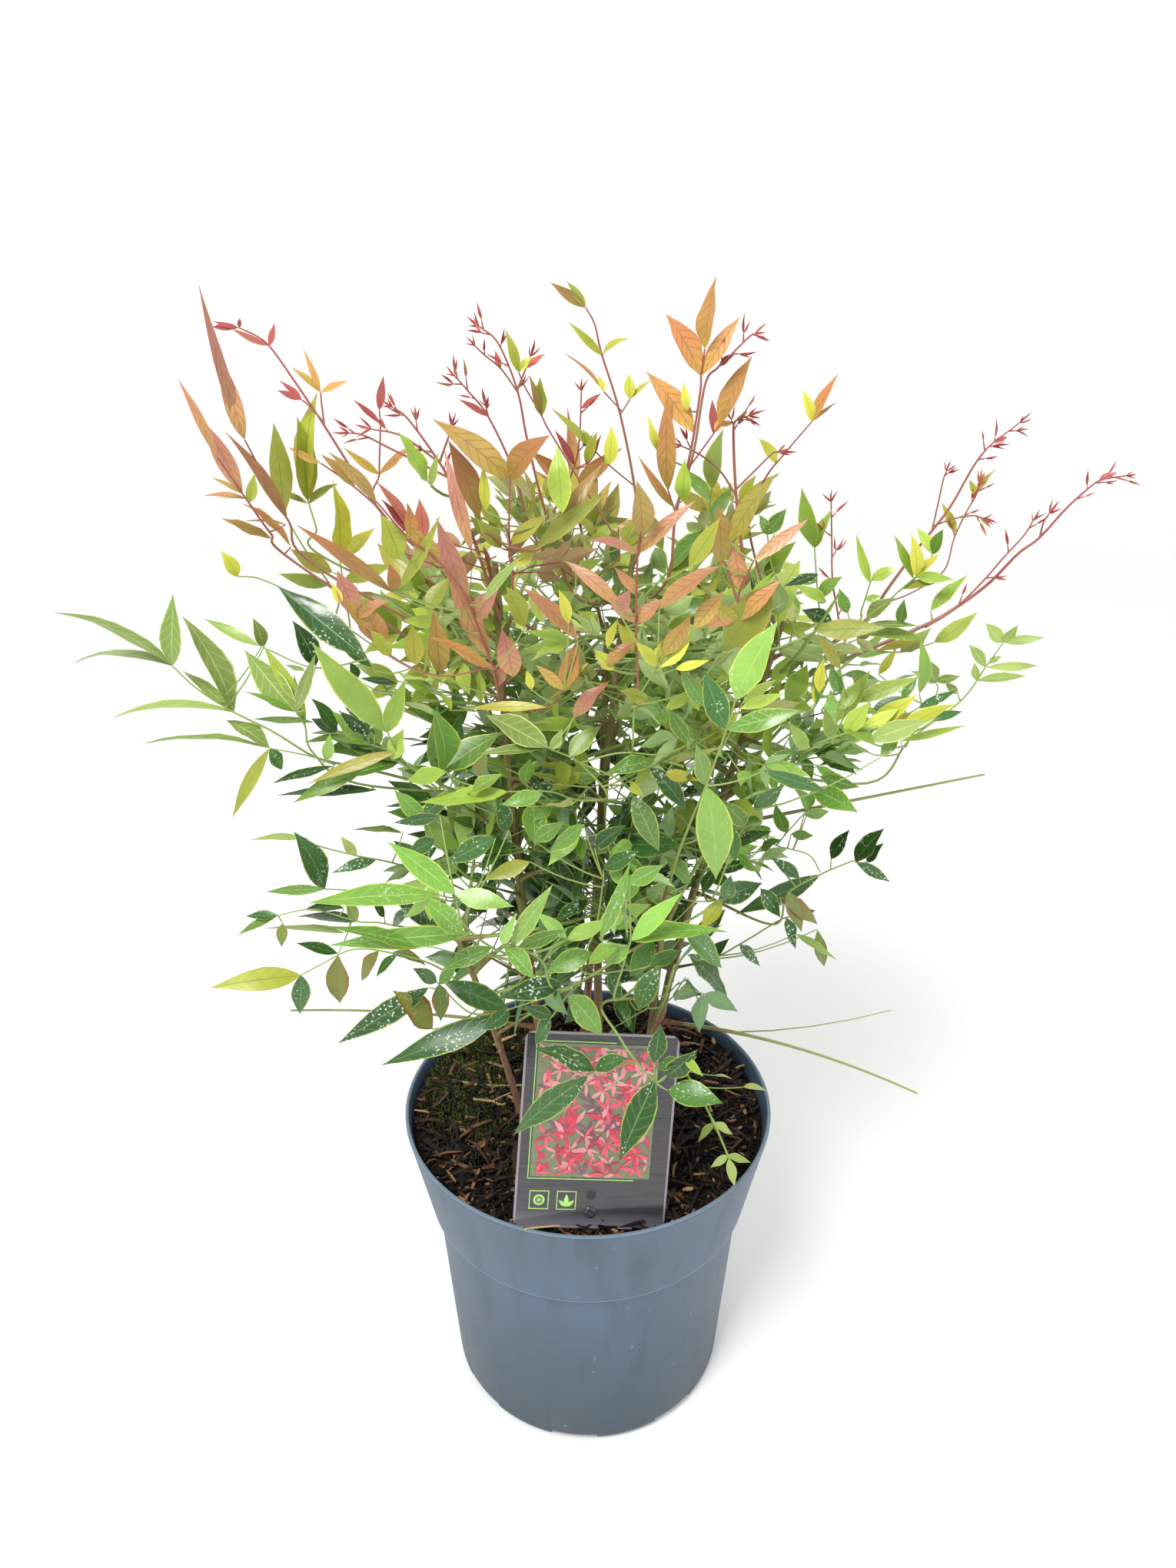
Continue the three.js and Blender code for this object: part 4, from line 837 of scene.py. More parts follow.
def revolved(profile, angles):
    """A surface of revolution. A point lies at (r cos a, r sin a, z) for each (r, z) of
    the profile and each angle a; the profile's two ends on the axis are single points."""
    profile = np.asarray(profile, float)
    rings = turned(profile[1:-1], angles)
    index, ahead, quads, _ = ring_faces(*rings.shape[:2])
    foot = np.stack([np.full(len(angles), index.size), ahead[0], index[0]], -1)
    head = np.stack([np.full(len(angles), index.size + 1), index[-1], ahead[-1]], -1)
    poles = np.array([[0, 0, profile[0, 1]], [0, 0, profile[-1, 1]]])
    return np.concatenate([rings.reshape(-1, 3), poles]), quads, np.concatenate([foot, head])


# ------------------------------------------------------------------- growth of the plant
def cane_at(cane, height):
    """The middle of a cane: foot + (head - foot) s, bowed sideways by 4 s (1 - s) bow."""
    foot, head, bow, _ = CANES[cane]
    share = (np.asarray(height, float) - CANE_FOOT) / (head[2] - CANE_FOOT)
    x = foot[0] + (head[0] - foot[0]) * share + 4 * share * (1 - share) * bow
    y = foot[1] + (head[1] - foot[1]) * share
    return np.stack([x, y, np.asarray(height, float)], -1)


def squared(vector, along):
    """The part of a vector that is square to a unit direction, as a unit vector."""
    return unit(vector - along * np.dot(vector, along))


def turned_to(along, side, angle):
    """A direction turned from along towards side: cos a along plus sin a side."""
    return along * math.cos(angle) + squared(side, along) * math.sin(angle)


class Growth:
    """Everything that grows: rachises, side stalks and leaflets, and the room they take."""

    def __init__(self):
        self.rachises, self.stalks, self.leaflets, self.sheaths = [], [], [], []
        self.side_roots = set()
        self.low = np.array(CAD_BOX[0]) / MM - OVERHANG
        self.high = np.array(CAD_BOX[1]) / MM + OVERHANG
        canes = [cane_at(name, np.arange(CANE_FOOT, CANES[name][1][2], 4.0)) for name in CANES]
        self.cane_points = np.concatenate(canes)
        self.leaf_points = np.zeros((0, 3))
        self.placed_points = np.zeros((0, 3))

    def fits(self, samples, near):
        """True if a leaflet's sample points keep to the crown's space, off the canes, the
        pot and the label, and away from the leaflets that are there."""
        if (samples < self.low).any() or (samples > self.high).any():
            return False
        body = samples[1:]
        if np.linalg.norm(body[:, None] - self.cane_points[None], axis=-1).min() < CANE_GAP:
            return False
        over_fill = np.hypot(samples[:, 0], samples[:, 1]) < RIM_RADIUS
        if not near and (samples[:, 2] < np.where(over_fill, LOWEST_INSIDE, LOWEST_OUTSIDE)).any():
            return False
        x, y, z = label_place(samples).T
        if ((np.abs(x) < CARD_ROOM[0]) & (y < CARD_ROOM[1]) & (np.abs(z) < CARD_ROOM[2])).any():
            return False
        if self.covers(body):
            return False
        gaps = np.linalg.norm(body[:, None] - self.leaf_points[None], axis=-1).min(-1)
        return gaps.min() > CROWDING and (gaps < 2 * CROWDING).sum() < 4

    def covers(self, body):
        """True if sample points stand just before a placed leaflet, seen from the front."""
        ways, placed = body - EYE, np.concatenate([self.placed_points, self.cane_points]) - EYE
        near, far = np.linalg.norm(ways, axis=-1), np.linalg.norm(placed, axis=-1)
        apart = np.linalg.norm((ways / near[:, None])[:, None] - (placed / far[:, None])[None], axis=-1)
        return bool(((apart * far < CLEAR_VIEW) & (near[:, None] < far - 1)).any())

    def nearest(self, point, own=None):
        """The point that has grown which a stalk to this point leaves: the nearest one
        from which it rises."""
        grown = np.concatenate([item[0] for item in self.rachises] + ([] if own is None else [own]))
        apart = np.linalg.norm(grown - point, axis=-1)
        steep = 60 * (point[2] - grown[:, 2] < 0.4 * apart - 2)
        return grown[(apart + steep).argmin()]

    def stalk(self, first, last, tint, bow=0.0):
        """Adds a side stalk: first + (last - first) s, and up by bow s (1 - s)."""
        shares = np.linspace(0, 1, STALK_RINGS)[:, None]
        self.stalks.append((first + (last - first) * shares + UP * bow * shares * (1 - shares), tint))

    def placed_leaflet(self, curve, row, tint, seed):
        """One leaflet from its root to its tip, as told in the plane of its spray. The tip
        is drawn nearer or farther along the line of sight; the blade faces the front,
        turned by its tilt so that it looks up."""
        draw = mulberry(seed)
        root_x, root_z, tip_x, tip_z, width, *rest = row
        tilt, curl = rest or (-18 + 62 * draw(), 5 + 60 * draw())
        spot = np.hypot(curve[:, 0] - root_x, curve[:, 2] - root_z).argmin()
        root = np.array([root_x, curve[spot, 1], root_z])
        if np.linalg.norm(root - curve[spot]) < SNAP:
            root = curve[spot]
        elif (root_x, root_z) not in self.side_roots:
            self.side_roots.add((root_x, root_z))
            first = self.nearest(root, curve)
            span = np.linalg.norm(root - first)
            self.stalk(first, root, tint[1] if span < RED_REACH else "green", -0.25 * span)
        tip = np.array([tip_x, curve[spot, 1], tip_z])
        reach = np.linalg.norm(tip - root)
        tip = tip + unit(tip - EYE) * reach * (draw() - 0.5) * DEPTH_DRAW
        chord = unit(tip - root)
        front = squared(EYE - root, chord)
        level = np.cross(chord, front)
        level = level if level[2] > 0 else -level
        normal = front * math.cos(math.radians(tilt)) + level * math.sin(math.radians(tilt))
        half = max(curl / 100, 0.02) / 2
        length = np.linalg.norm(tip - root) * half / math.sin(half)
        facing = math.cos(math.radians(min(abs(tilt), 55)))
        self.leaflets.append(dict(
            root=root, run=chord * math.cos(half) + normal * math.sin(half),
            across=np.cross(normal, chord), length=length, curl=2 * half,
            width=min(width / facing, 0.5 * length), tint=tint[0],
            shape=(0.8, 1.35) if width < 4 else (0.8, 1.2), rank=0.45 * draw(),
            fold=0.12 + 0.3 * draw(), seed=seed,
        ))
        samples = root + np.array([0.3, 0.55, 0.8])[:, None] * (tip - root)
        self.leaf_points = np.concatenate([self.leaf_points, samples])
        self.placed_points = np.concatenate([self.placed_points, samples])

    def claws(self, curve, seed):
        """The tiny folded leaflets of an unfolding shoot: three at its end, and others on
        short stalks on either hand along its upper part."""
        length = np.linalg.norm(np.diff(curve, axis=0), axis=-1).sum()
        draw = mulberry(seed)
        spots = [(1.0, 0)] + [
            (1 - (CLAW_STEP * (count + 0.5) + 4 * draw()) / length, (-1) ** count)
            for count in range(int(min(0.6 * length, 60) / CLAW_STEP))
        ]
        for share, hand in spots:
            root = point_on(curve, share)
            along = unit(root - point_on(curve, share - 0.05))
            front = squared(EYE - root, along)
            side = np.cross(along, front)
            head = root
            if hand:
                out = math.radians(28 + 22 * draw()) * hand
                way = unit(along * math.cos(out) + side * math.sin(out) + front * (draw() - 0.5))
                head = root + way * (1 + 5 * draw())
                self.stalk(root, head, "red")
                along = way
            for place in (0, 1, -1)[: 3 if hand == 0 else 1 + int(2.4 * draw())]:
                out = math.radians(place * (20 + 18 * draw()))
                run = unit(along * math.cos(out) + side * math.sin(out) + front * (draw() - 0.5) * 0.6)
                size = (5.5 if place == 0 else 4) + 3.5 * draw()
                flat = squared(front + side * (draw() - 0.5) * 2, run)
                self.leaflets.append(dict(
                    root=head, run=run, across=np.cross(flat, run), length=size,
                    curl=-0.3 + 0.5 * draw(), width=size * 0.24, tint="red", shape=(0.7, 1.35),
                    rank=draw() * 0.6, fold=0.8, seed=seed + 10 * len(self.leaflets) + place + 1,
                ))

    def placed_spray(self, row, number):
        """A spray whose path and leaflets are told. Its path is a smooth curve through its
        knots from the cane, or from the nearest point of what has grown, and it thins."""
        node, tint, thick, foot, start, end, knots, groups = row
        flat = np.array([knot.split() for knot in knots.split(",")], float)
        depths = np.linspace(start, end, len(flat))
        path = np.column_stack([flat[:, 0], depths, flat[:, 1]])
        if foot:
            cane, height = foot.split()
            first = cane_at(cane, float(height))
        else:
            first = self.nearest(path[0])
        gap = np.linalg.norm(first - path[0])
        middle = [] if foot or gap < 4 else [(first + path[0]) / 2 - UP * 0.08 * gap]
        curve = smooth_path([first, *middle, *(path[1:] if gap < 4 else path)], RACHIS_RINGS)
        thick = thick * STALK_SHARE
        radii = thick + (min(thick, THIN_END) - thick) * np.linspace(0, 1, RACHIS_RINGS) ** TAPER
        self.rachises.append((curve, radii, np.array([0.1, 1.0, 0.1]), tint))
        if foot:
            length = np.linalg.norm(np.diff(curve, axis=0), axis=-1).sum()
            at = lambda share: np.array([point_on(curve, one) for one in np.atleast_1d(share)])
            self.sheaths.append((cane, float(height), at, length, thick))
        if tint == "red" and node != "shoot_left":
            self.claws(curve, 40000 + 500 * number)
        for group in filter(None, groups.split("; ")):
            name, leaflets = group.split(": ")
            for count, leaflet in enumerate(leaflets.split(", ")):
                seed = 20000 + 97 * number + 7 * count + len(name)
                self.placed_leaflet(curve, [float(one) for one in leaflet.split()], (name, tint), seed)

    def leaflet(self, root, along, side, angle, size, seed, look):
        """Places one leaflet as the solids' rule says, turned or shortened for room."""
        draw = mulberry(seed)
        scale = 1 + (draw() - 0.5) * JITTER["length"]
        turn = angle + math.radians((draw() - 0.5) * JITTER["splay"])
        lift = math.radians((draw() - 0.5) * JITTER["lift"])
        roll = math.radians((draw() - 0.5) * JITTER["roll"])
        face = unit(np.cross(side, along))
        run = unit(turned_to(along, side, turn) + face * math.tan(lift) + UP * look["rise"])
        level = unit(np.cross(run, face))
        across = squared(level * math.cos(roll) + face * math.sin(roll), run)
        for twist, shrink in TRIES:
            flat = unit(np.cross(across, run))
            rolled = across * math.cos(math.radians(twist)) + flat * math.sin(math.radians(twist))
            length = size * scale * shrink
            normal = np.cross(run, rolled)
            if normal[2] - 0.4 * np.dot(normal, look["heading"]) < 0:
                rolled, normal = -rolled, -normal
            curl = look["curl"] * (1.7 * draw() - 0.2)
            bent = unit(run * math.cos(curl * 0.5) - normal * math.sin(curl * 0.5))
            samples = root + np.array([0.08, 0.3, 0.55, 0.8, 1.0])[:, None] * length * bent
            if self.fits(samples, look["low"]):
                self.leaf_points = np.concatenate([self.leaf_points, samples[1:]])
                self.leaflets.append(dict(
                    root=root, run=run, across=rolled, length=length, curl=curl,
                    width=length * look["blade"] * (0.88 + 0.24 * draw()), shape=look["shape"],
                    tint=look["tint"], rank=look["rank"], fold=look["fold"] * (0.5 + draw()), seed=seed,
                ))
                return

    def spray(self, root, along, side, angle, size, seed, look):
        """What grows where the solids have one long leaflet: a thin stalk that ends in
        three smaller leaflets, turned about the stalk by a draw of its own."""
        single = look["single"]
        if size < SPRAY_ABOVE or single is None or mulberry(seed + 31)() < single:
            self.leaflet(root, along, side, angle, size * look["shrink"], seed, look)
            return
        draw = mulberry(seed + 17)
        turn = angle + math.radians((draw() - 0.5) * JITTER["splay"])
        lift = math.radians((draw() - 0.5) * JITTER["lift"])
        face = unit(np.cross(side, along))
        way = unit(turned_to(along, side, turn) + face * math.tan(lift) + UP * look["rise"] * 0.5)
        head = root + way * (size * SPRAY_STALK * (0.75 + 0.6 * draw()))
        roll = math.radians((draw() - 0.5) * SPRAY_ROLL)
        level = squared(side, way)
        own = level * math.cos(roll) + np.cross(way, level) * math.sin(roll)
        count = len(self.leaflets)
        for place in (0, 1, -1):
            start = head - way * SET_BACK[abs(place)] * 0.5
            out = math.radians(place * (44 + 26 * draw()))
            part = size * SPRAY_SIZES[abs(place)]
            self.leaflet(start, way, own, out, part, seed + 500 + place, look)
        if len(self.leaflets) > count:
            self.stalk(root, head, look["tint"])

    def trio(self, end, along, side, size, seed, count, look):
        """One leaflet straight on, and with three of them one to each side, set back."""
        square = squared(side, along)
        for order, place in enumerate((0, 1, -1)[:count]):
            root = end - along * SET_BACK[abs(place)]
            angle, length = math.radians(place * TRIO_SPLAY), size * TRIO_SIZES[abs(place)]
            self.spray(root, along, square, angle, length, seed + 1 + order, look)

    def compound_leaf(self, row, index):
        """One rachis with its joints, side stalks and leaflets. A point of the rachis is
        start + reach s + up 4 arch s (1 - s)."""
        _, cane, height, end, arch, size, kind_name, tint = row
        kind = KINDS[kind_name]
        start = cane_at(cane, height)
        reach = np.array(end, float) - start
        heading = unit(np.array([reach[0], reach[1], 0]))
        roll = math.radians((mulberry(index)() - 0.5) * ROLL)
        side = np.array([heading[1], -heading[0], 0]) * math.cos(roll) + UP * math.sin(roll)
        length = np.linalg.norm(reach)

        def at(share):
            share = np.asarray(share, float)[..., None]
            return start + reach * share + UP * 4 * arch * share * (1 - share)

        def along_at(share):
            return unit(reach + UP * 4 * arch * (1 - 2 * share))

        shares = np.linspace(0, 1, RACHIS_RINGS)
        radii = kind["thick"] + (RACHIS_TIP - kind["thick"]) * shares**TAPER
        for share, *_ in kind["joints"]:
            radii = radii + KNUCKLES[0] * np.exp(-(((shares - share) * length / KNUCKLES[1]) ** 2))
        self.rachises.append((at(shares), radii, side, tint))
        self.sheaths.append((cane, height, at, length, kind["thick"]))
        look = dict(
            tint=tint, heading=heading, shape=kind["shape"], blade=kind["blade"],
            fold=FOLDS.get(kind_name, 0.3), curl=CURLS.get(tint, 0.5), low=kind_name == "sprig",
            rank=0.0, rise=RISES.get(tint, 0.0), single=None, shrink=kind.get("shrink", 0.8),
        )
        base = index * 1000
        if kind["blade"]:
            self.trio(at(1.0), along_at(1), side, size, base, 3, look)
        look["single"] = kind.get("single")
        for share, stalk, heads, pairs, number in sorted(kind["joints"], reverse=True):
            root, along = at(share), along_at(share)
            lower = size * LOWER_SIZE * (1.0 if number <= 2 else FINER_SIZE)
            look["rank"] = 1 - share
            for hand in (1, -1) if kind["blade"] else (-1,):
                seed = base + number * 100 + (50 if hand > 0 else 0)
                splay = kind["splay"] + (mulberry(seed)() - 0.5) * JITTER["splay"]
                angle = hand * math.radians(splay)
                if stalk == 0:
                    self.spray(root, along, side, angle, lower, seed + 1, look)
                    continue
                way = turned_to(along, side, angle)
                head = root + way * stalk * length
                self.stalk(root, head, tint, -0.04 * stalk * length * 4)
                self.trio(head, way, side, lower, seed, heads, look)
                for pair in range(pairs):
                    place = root + way * stalk * length * 0.52
                    for turn in (1, -1):
                        extra = seed + 11 + 2 * pair + (turn > 0)
                        out = turn * math.radians(TRIO_SPLAY)
                        self.spray(place, way, side, out, size * FINER_SIZE, extra, look)


def label_axes():
    """The label's frame: across the card, up it, and out towards the reader. The card
    leans back, is turned a little to its left, and is rolled a little in its own plane."""
    lean, yaw, roll = (math.radians(angle) for angle in (LABEL_LEAN, LABEL_YAW, LABEL_ROLL))
    across, up = np.eye(3)[0], np.array([0, math.sin(lean), math.cos(lean)])
    out = np.cross(across, up)
    across, up = across * math.cos(roll) - up * math.sin(roll), up * math.cos(roll) + across * math.sin(roll)
    spin = np.array([[math.cos(yaw), -math.sin(yaw), 0], [math.sin(yaw), math.cos(yaw), 0], [0, 0, 1]])
    return np.array([across, up, out]) @ spin.T


def label_place(points):
    """Points in the label's own frame."""
    return (np.asarray(points, float) - label_foot()) @ label_axes().T


def label_foot():
    """The middle of the card's lower edge, so that the card's middle is where it stands."""
    lean, half = math.radians(LABEL_LEAN), CARD_SIZE[1] / 2
    middle = LABEL_FOOT + half * np.array([0, math.sin(lean), math.cos(lean)])
    return middle - half * label_axes()[1]


def on_label(points):
    """Points of the label's own frame in the plant's frame."""
    return np.asarray(points, float) @ label_axes() + label_foot()


def nodes_of(wanted):
    """The foliage solids of the tints that are wanted."""
    return [node for tint, nodes in FOLIAGE_NODES.items() if wanted(tint) for node in nodes]


def put_leaflets(work, leaflets, finishes_of):
    """Adds many leaflets at once. With s along the blade and t across it from -1 to 1,
    the half width is w sin(pi s^p)^q, the middle line bends back with a steady curl, and
    the halves fold up along the rib; the underside lies a little below and both meet at
    the margin, the root and the tip."""
    count = len(leaflets)
    root, run, across, shape, length, width, curl, fold = (
        np.array([leaf[key] for leaf in leaflets], float)
        for key in ("root", "run", "across", "shape", "length", "width", "curl", "fold")
    )
    dice = np.array([np.random.RandomState(leaf["seed"] % 2**31).rand(8) for leaf in leaflets])
    normal = unit(np.cross(run, across))
    s, t = BLADE_STATIONS, BLADE_COLUMNS
    curl = np.where(np.abs(curl) < 1e-3, 1e-3, curl)[:, None]
    to_tip = np.append(s, 1.0)
    bent = curl * to_tip
    ahead = length[:, None] * np.sin(bent) / curl
    down = length[:, None] * (1 - np.cos(bent)) / curl
    sickle = (dice[:, :1] - 0.5) * 0.16 * length[:, None] * to_tip**2
    line = (
        root[:, None] + ahead[..., None] * run[:, None] - down[..., None] * normal[:, None]
        + sickle[..., None] * across[:, None]
    )
    middle, tip = line[:, :-1], line[:, -1]
    power = shape[:, :1] * (0.9 + 0.2 * dice[:, 1:2])
    half = 0.5 * width[:, None] * np.sin(math.pi * s ** power) ** shape[:, 1:2]
    cos, sin = np.cos(bent[:, :-1])[..., None], np.sin(bent[:, :-1])[..., None]
    direction = cos * run[:, None] - sin * normal[:, None]
    lifted = cos * normal[:, None] + sin * run[:, None]
    twist = ((dice[:, 2] - 0.5) * 0.9)[:, None] * s
    sideways = np.cos(twist)[..., None] * across[:, None] + np.sin(twist)[..., None] * lifted
    upward = np.cross(direction, sideways)[:, :, None]
    wave = 0.22 * np.sin(2 * math.pi * ((1.2 + dice[:, 3:4]) * s + dice[:, 4:5])) * dice[:, 5:6]
    half, folded = half[..., None], np.sin(fold)[:, None, None]
    rise = half * np.abs(t) * folded - half * 0.2 * t**2 * folded + half * wave[..., None] * t**2
    out = half * t * np.cos(fold)[:, None, None]
    top = middle[:, :, None] + out[..., None] * sideways[:, :, None] + rise[..., None] * upward
    under = top[:, :, 1:-1] - BLADE_THICK * upward
    rows, cols = len(s), len(t)
    points = np.concatenate(
        [top.reshape(count, -1, 3), under.reshape(count, -1, 3), root[:, None], tip[:, None]], axis=1
    )
    size = points.shape[1]
    upper = np.arange(rows * cols).reshape(rows, cols)
    lower = rows * cols + np.arange(rows * (cols - 2)).reshape(rows, cols - 2)
    lower = np.concatenate([upper[:, :1], lower, upper[:, -1:]], axis=1)
    top_quads = np.stack([upper[:-1, :-1], upper[1:, :-1], upper[1:, 1:], upper[:-1, 1:]], -1)
    low_quads = np.stack([lower[:-1, :-1], lower[:-1, 1:], lower[1:, 1:], lower[1:, :-1]], -1)

    def fan(row, pole, flip):
        first, second = (row[1:], row[:-1]) if flip else (row[:-1], row[1:])
        return np.stack([np.full(cols - 1, pole), first, second], -1)

    top_fans = np.concatenate([fan(upper[0], size - 2, False), fan(upper[-1], size - 1, True)])
    low_fans = np.concatenate([fan(lower[0], size - 2, True), fan(lower[-1], size - 1, False)])
    tops, unders = finishes_of(leaflets, dice)
    groups = []
    for faces, numbers in ((top_quads, tops), (low_quads, unders), (top_fans, tops), (low_fans, unders)):
        faces = faces.reshape(-1, faces.shape[-1])
        every = faces[None] + (np.arange(count) * size)[:, None, None]
        groups.append((every.reshape(-1, faces.shape[-1]), np.repeat(numbers, len(faces))))
    grid = np.stack(np.broadcast_arrays((t + 1) / 2, s[:, None]), -1)
    uv = np.concatenate([grid.reshape(-1, 2), grid[:, 1:-1].reshape(-1, 2), [[0.5, 0.0], [0.5, 1.0]]])
    work.put(points, groups, uv=np.tile(uv, (count, 1)), tone=np.repeat(dice[:, 6], size))


# ------------------------------------------------------------------------ pieces: stems
def grow_plant(spacing):
    """Grows the placed sprays, the compound leaves of the table and the inner crown, in
    the room inside the solids' own box."""
    growth = Growth()
    for number, row in enumerate(SPRAYS):
        growth.placed_spray(row, number)
    for index, row in enumerate(LEAVES, start=1):
        growth.compound_leaf(row, index)
    for index, row in enumerate(inner_leaves(spacing), start=200):
        growth.compound_leaf(row, index)
    return growth


def inner_leaves(spacing):
    """Rows for the inner crown: up each cane a leaf every few millimetres, each turned by
    the golden angle from the one below, to an end on the crown's shell or inside it."""
    rows = []
    heights, radii = np.array(CROWN_SHELL, float).T
    sunny_from, (sunny_low, sunny_high), sunny_tints = SUNNY_SIDE
    for cane, (low, high, heading) in INNER_LEAVES.items():
        climb = np.arange(0, 1, spacing / (high - low))
        for count, height in enumerate(low + (high - low) * climb**0.58):
            draw = mulberry(int(height) * 7 + int(heading * 10))
            turn = heading + GOLDEN_ANGLE * count
            top = height + (26 + 34 * draw())
            out = np.interp(top, heights, radii) * (0.5 + 0.5 * draw() ** 0.6)
            end = np.array([CROWN_AXIS[0] + out * math.cos(turn), CROWN_AXIS[1] + out * math.sin(turn)])
            end = end + 0.3 * (cane_at(cane, height)[:2] - end * 0.3)
            tints = [names for floor, names in INNER_TINTS if floor <= top][-1]
            if end[0] > sunny_from and sunny_low < top < sunny_high:
                tints = sunny_tints
            tint = tints[int(draw() * len(tints))]
            size = (44 if height < 380 else 36) + 12 * draw()
            rows.append((None, cane, height, (*end, top), 8 - 14 * draw(), size, "broad", tint))
    return rows


def make_canes(settings):
    """A cane's skin: at height h and angle a the radius is the taper times the flare at
    the foot, plus a raised ring at each joint and shallow furrows of stretched noise."""
    work = Patchwork()
    angle = even_angles(settings.sides)
    spokes = np.stack([np.cos(angle), np.sin(angle), np.zeros_like(angle)], -1)
    u, v = 6 + 4 * np.cos(angle)[None, :], 6 + 4 * np.sin(angle)[None, :]
    for number, (name, (_, head, _, radius)) in enumerate(CANES.items()):
        heights = np.arange(CANE_FOOT, head[2] + 0.1, CANE_STEP)
        risen = heights - CANE_FOOT
        share = risen / (head[2] - CANE_FOOT)
        flare = 1 + CANE_FLARE[0] * np.exp(-risen / CANE_FLARE[1])
        taper = (radius[0] + (radius[1] - radius[0]) * share) * flare * CANE_GIRTH
        rings = np.zeros_like(heights)
        for joint in np.cumsum(np.linspace(*JOINT_GAPS)) + 10 * number % 17:
            past = risen - joint
            rings += np.exp(-((past / 1.6) ** 2))
            rings += 0.5 * np.exp(-np.clip(past, 0, None) / 7) * (past > 0)
        furrow = value_noise(u * 1.5, v * 1.5 + heights[:, None] / 14, 3)
        bumps = value_noise(u * 0.7, heights[:, None] / 3.0, 5 + number)
        size = taper[:, None] + JOINT_RISE * rings[:, None] + settings.furrow / MM * (furrow - 0.5)
        size = size + BUMP_RISE * (bumps - 0.5)
        points = cane_at(name, heights)[:, None] + size[..., None] * spokes[None]
        turn = np.arange(settings.sides) / settings.sides
        place = np.stack(np.broadcast_arrays(turn, share[:, None]), -1)
        work.put_rings(points.reshape(-1, 3), len(heights), 0, uv=place)
    bark = bark_material("cane_bark", settings.colour)
    work.build("canes", [bark], ["cane_" + name for name in CANES])


def make_sheaths(growth):
    """The foot of each rachis clasps its cane: a limb along the cane for a little way,
    then out along the rachis, thickest where it leaves, thinning to the rachis."""
    work = Patchwork()
    paths, radii, sides = [], [], []
    for cane, height, at, length, thick in growth.sheaths:
        low = cane_at(cane, np.maximum(height - CLASP_DROPS, CANE_FOOT + 2))
        out = at(SHEATH_RUN / length)
        lean = unit(at(np.array([12.0 / length]))[0] - at(np.array([0.0]))[0])
        grip = CLASP_LEANS[:, None] * lean * [1, 1, 0]
        foot, head = CANES[cane][3]
        risen = (height - CANE_FOOT) / (CANES[cane][1][2] - CANE_FOOT)
        paths.append(np.concatenate([low + grip * 0.9, out]))
        size = CLASP_SIZES * ((foot + (head - foot) * risen) * 0.74 + 0.25)
        radii.append(np.concatenate([size, thick * SHEATH_SIZES]))
        sides.append([lean[1], -lean[0], 0.01])
    work.put_tubes(paths, radii, 10, unit(sides))
    sheath = bark_material("dry_leaf_sheath", linear("#6d352c"))
    work.build("leaf_sheaths", [sheath], nodes_of(lambda tint: True))


def make_stalks(growth, name, finish, wanted):
    """Rachises and side stalks as fine round limbs, thick at the foot."""
    work = Patchwork()
    paths, radii, references, _ = zip(*[item for item in growth.rachises if wanted(item[3])])
    work.put_tubes(paths, radii, 7, np.array(references))
    paths = [path for path, tint in growth.stalks if wanted(tint)]
    radii = SIDE_STALK[0] - SIDE_STALK[1] * np.linspace(0, 1, STALK_RINGS)
    work.put_tubes(paths, np.tile(radii, (len(paths), 1)), 5, UP)
    work.build(name, [finish], nodes_of(wanted))


def make_foliage(growth):
    """The leaflets of each tint family, with their shades dealt out by spray."""
    for name, tints, slot in FOLIAGE:
        finishes, numbers = [], {}
        for tint in tints:
            shades, vein, margin, under, rough, specks = TINTS[tint]
            for rank, shade in enumerate(shades):
                numbers[tint, rank] = len(finishes)
                foot = shades[-1] if tint in ("rose", "bronze", "orange") else shade
                finishes.append(
                    leaf_material(f"{tint}_leaf_{rank + 1}", shade, foot, vein, margin, rough, specks)
                )
            numbers[tint, "under"] = len(finishes)
            finishes.append(underside_material(tint + "_leaf_underside", under))

        def finishes_of(leaflets, dice):
            rank = np.array([leaf["rank"] for leaf in leaflets])
            rank = np.clip(rank * 3.2 + (dice[:, 7] - 0.5) * 1.6, 0, 2).round().astype(int)
            tops = [numbers[leaf["tint"], int(r)] for leaf, r in zip(leaflets, rank)]
            unders = [numbers[leaf["tint"], "under"] for leaf in leaflets]
            return np.array(tops), np.array(unders)

        work = Patchwork()
        leaflets = [leaf for leaf in growth.leaflets if leaf["tint"] in tints]
        put_leaflets(work, leaflets, finishes_of)
        nodes = nodes_of(lambda tint: tint in tints)
        work.build(name, finishes, nodes, crease=70)


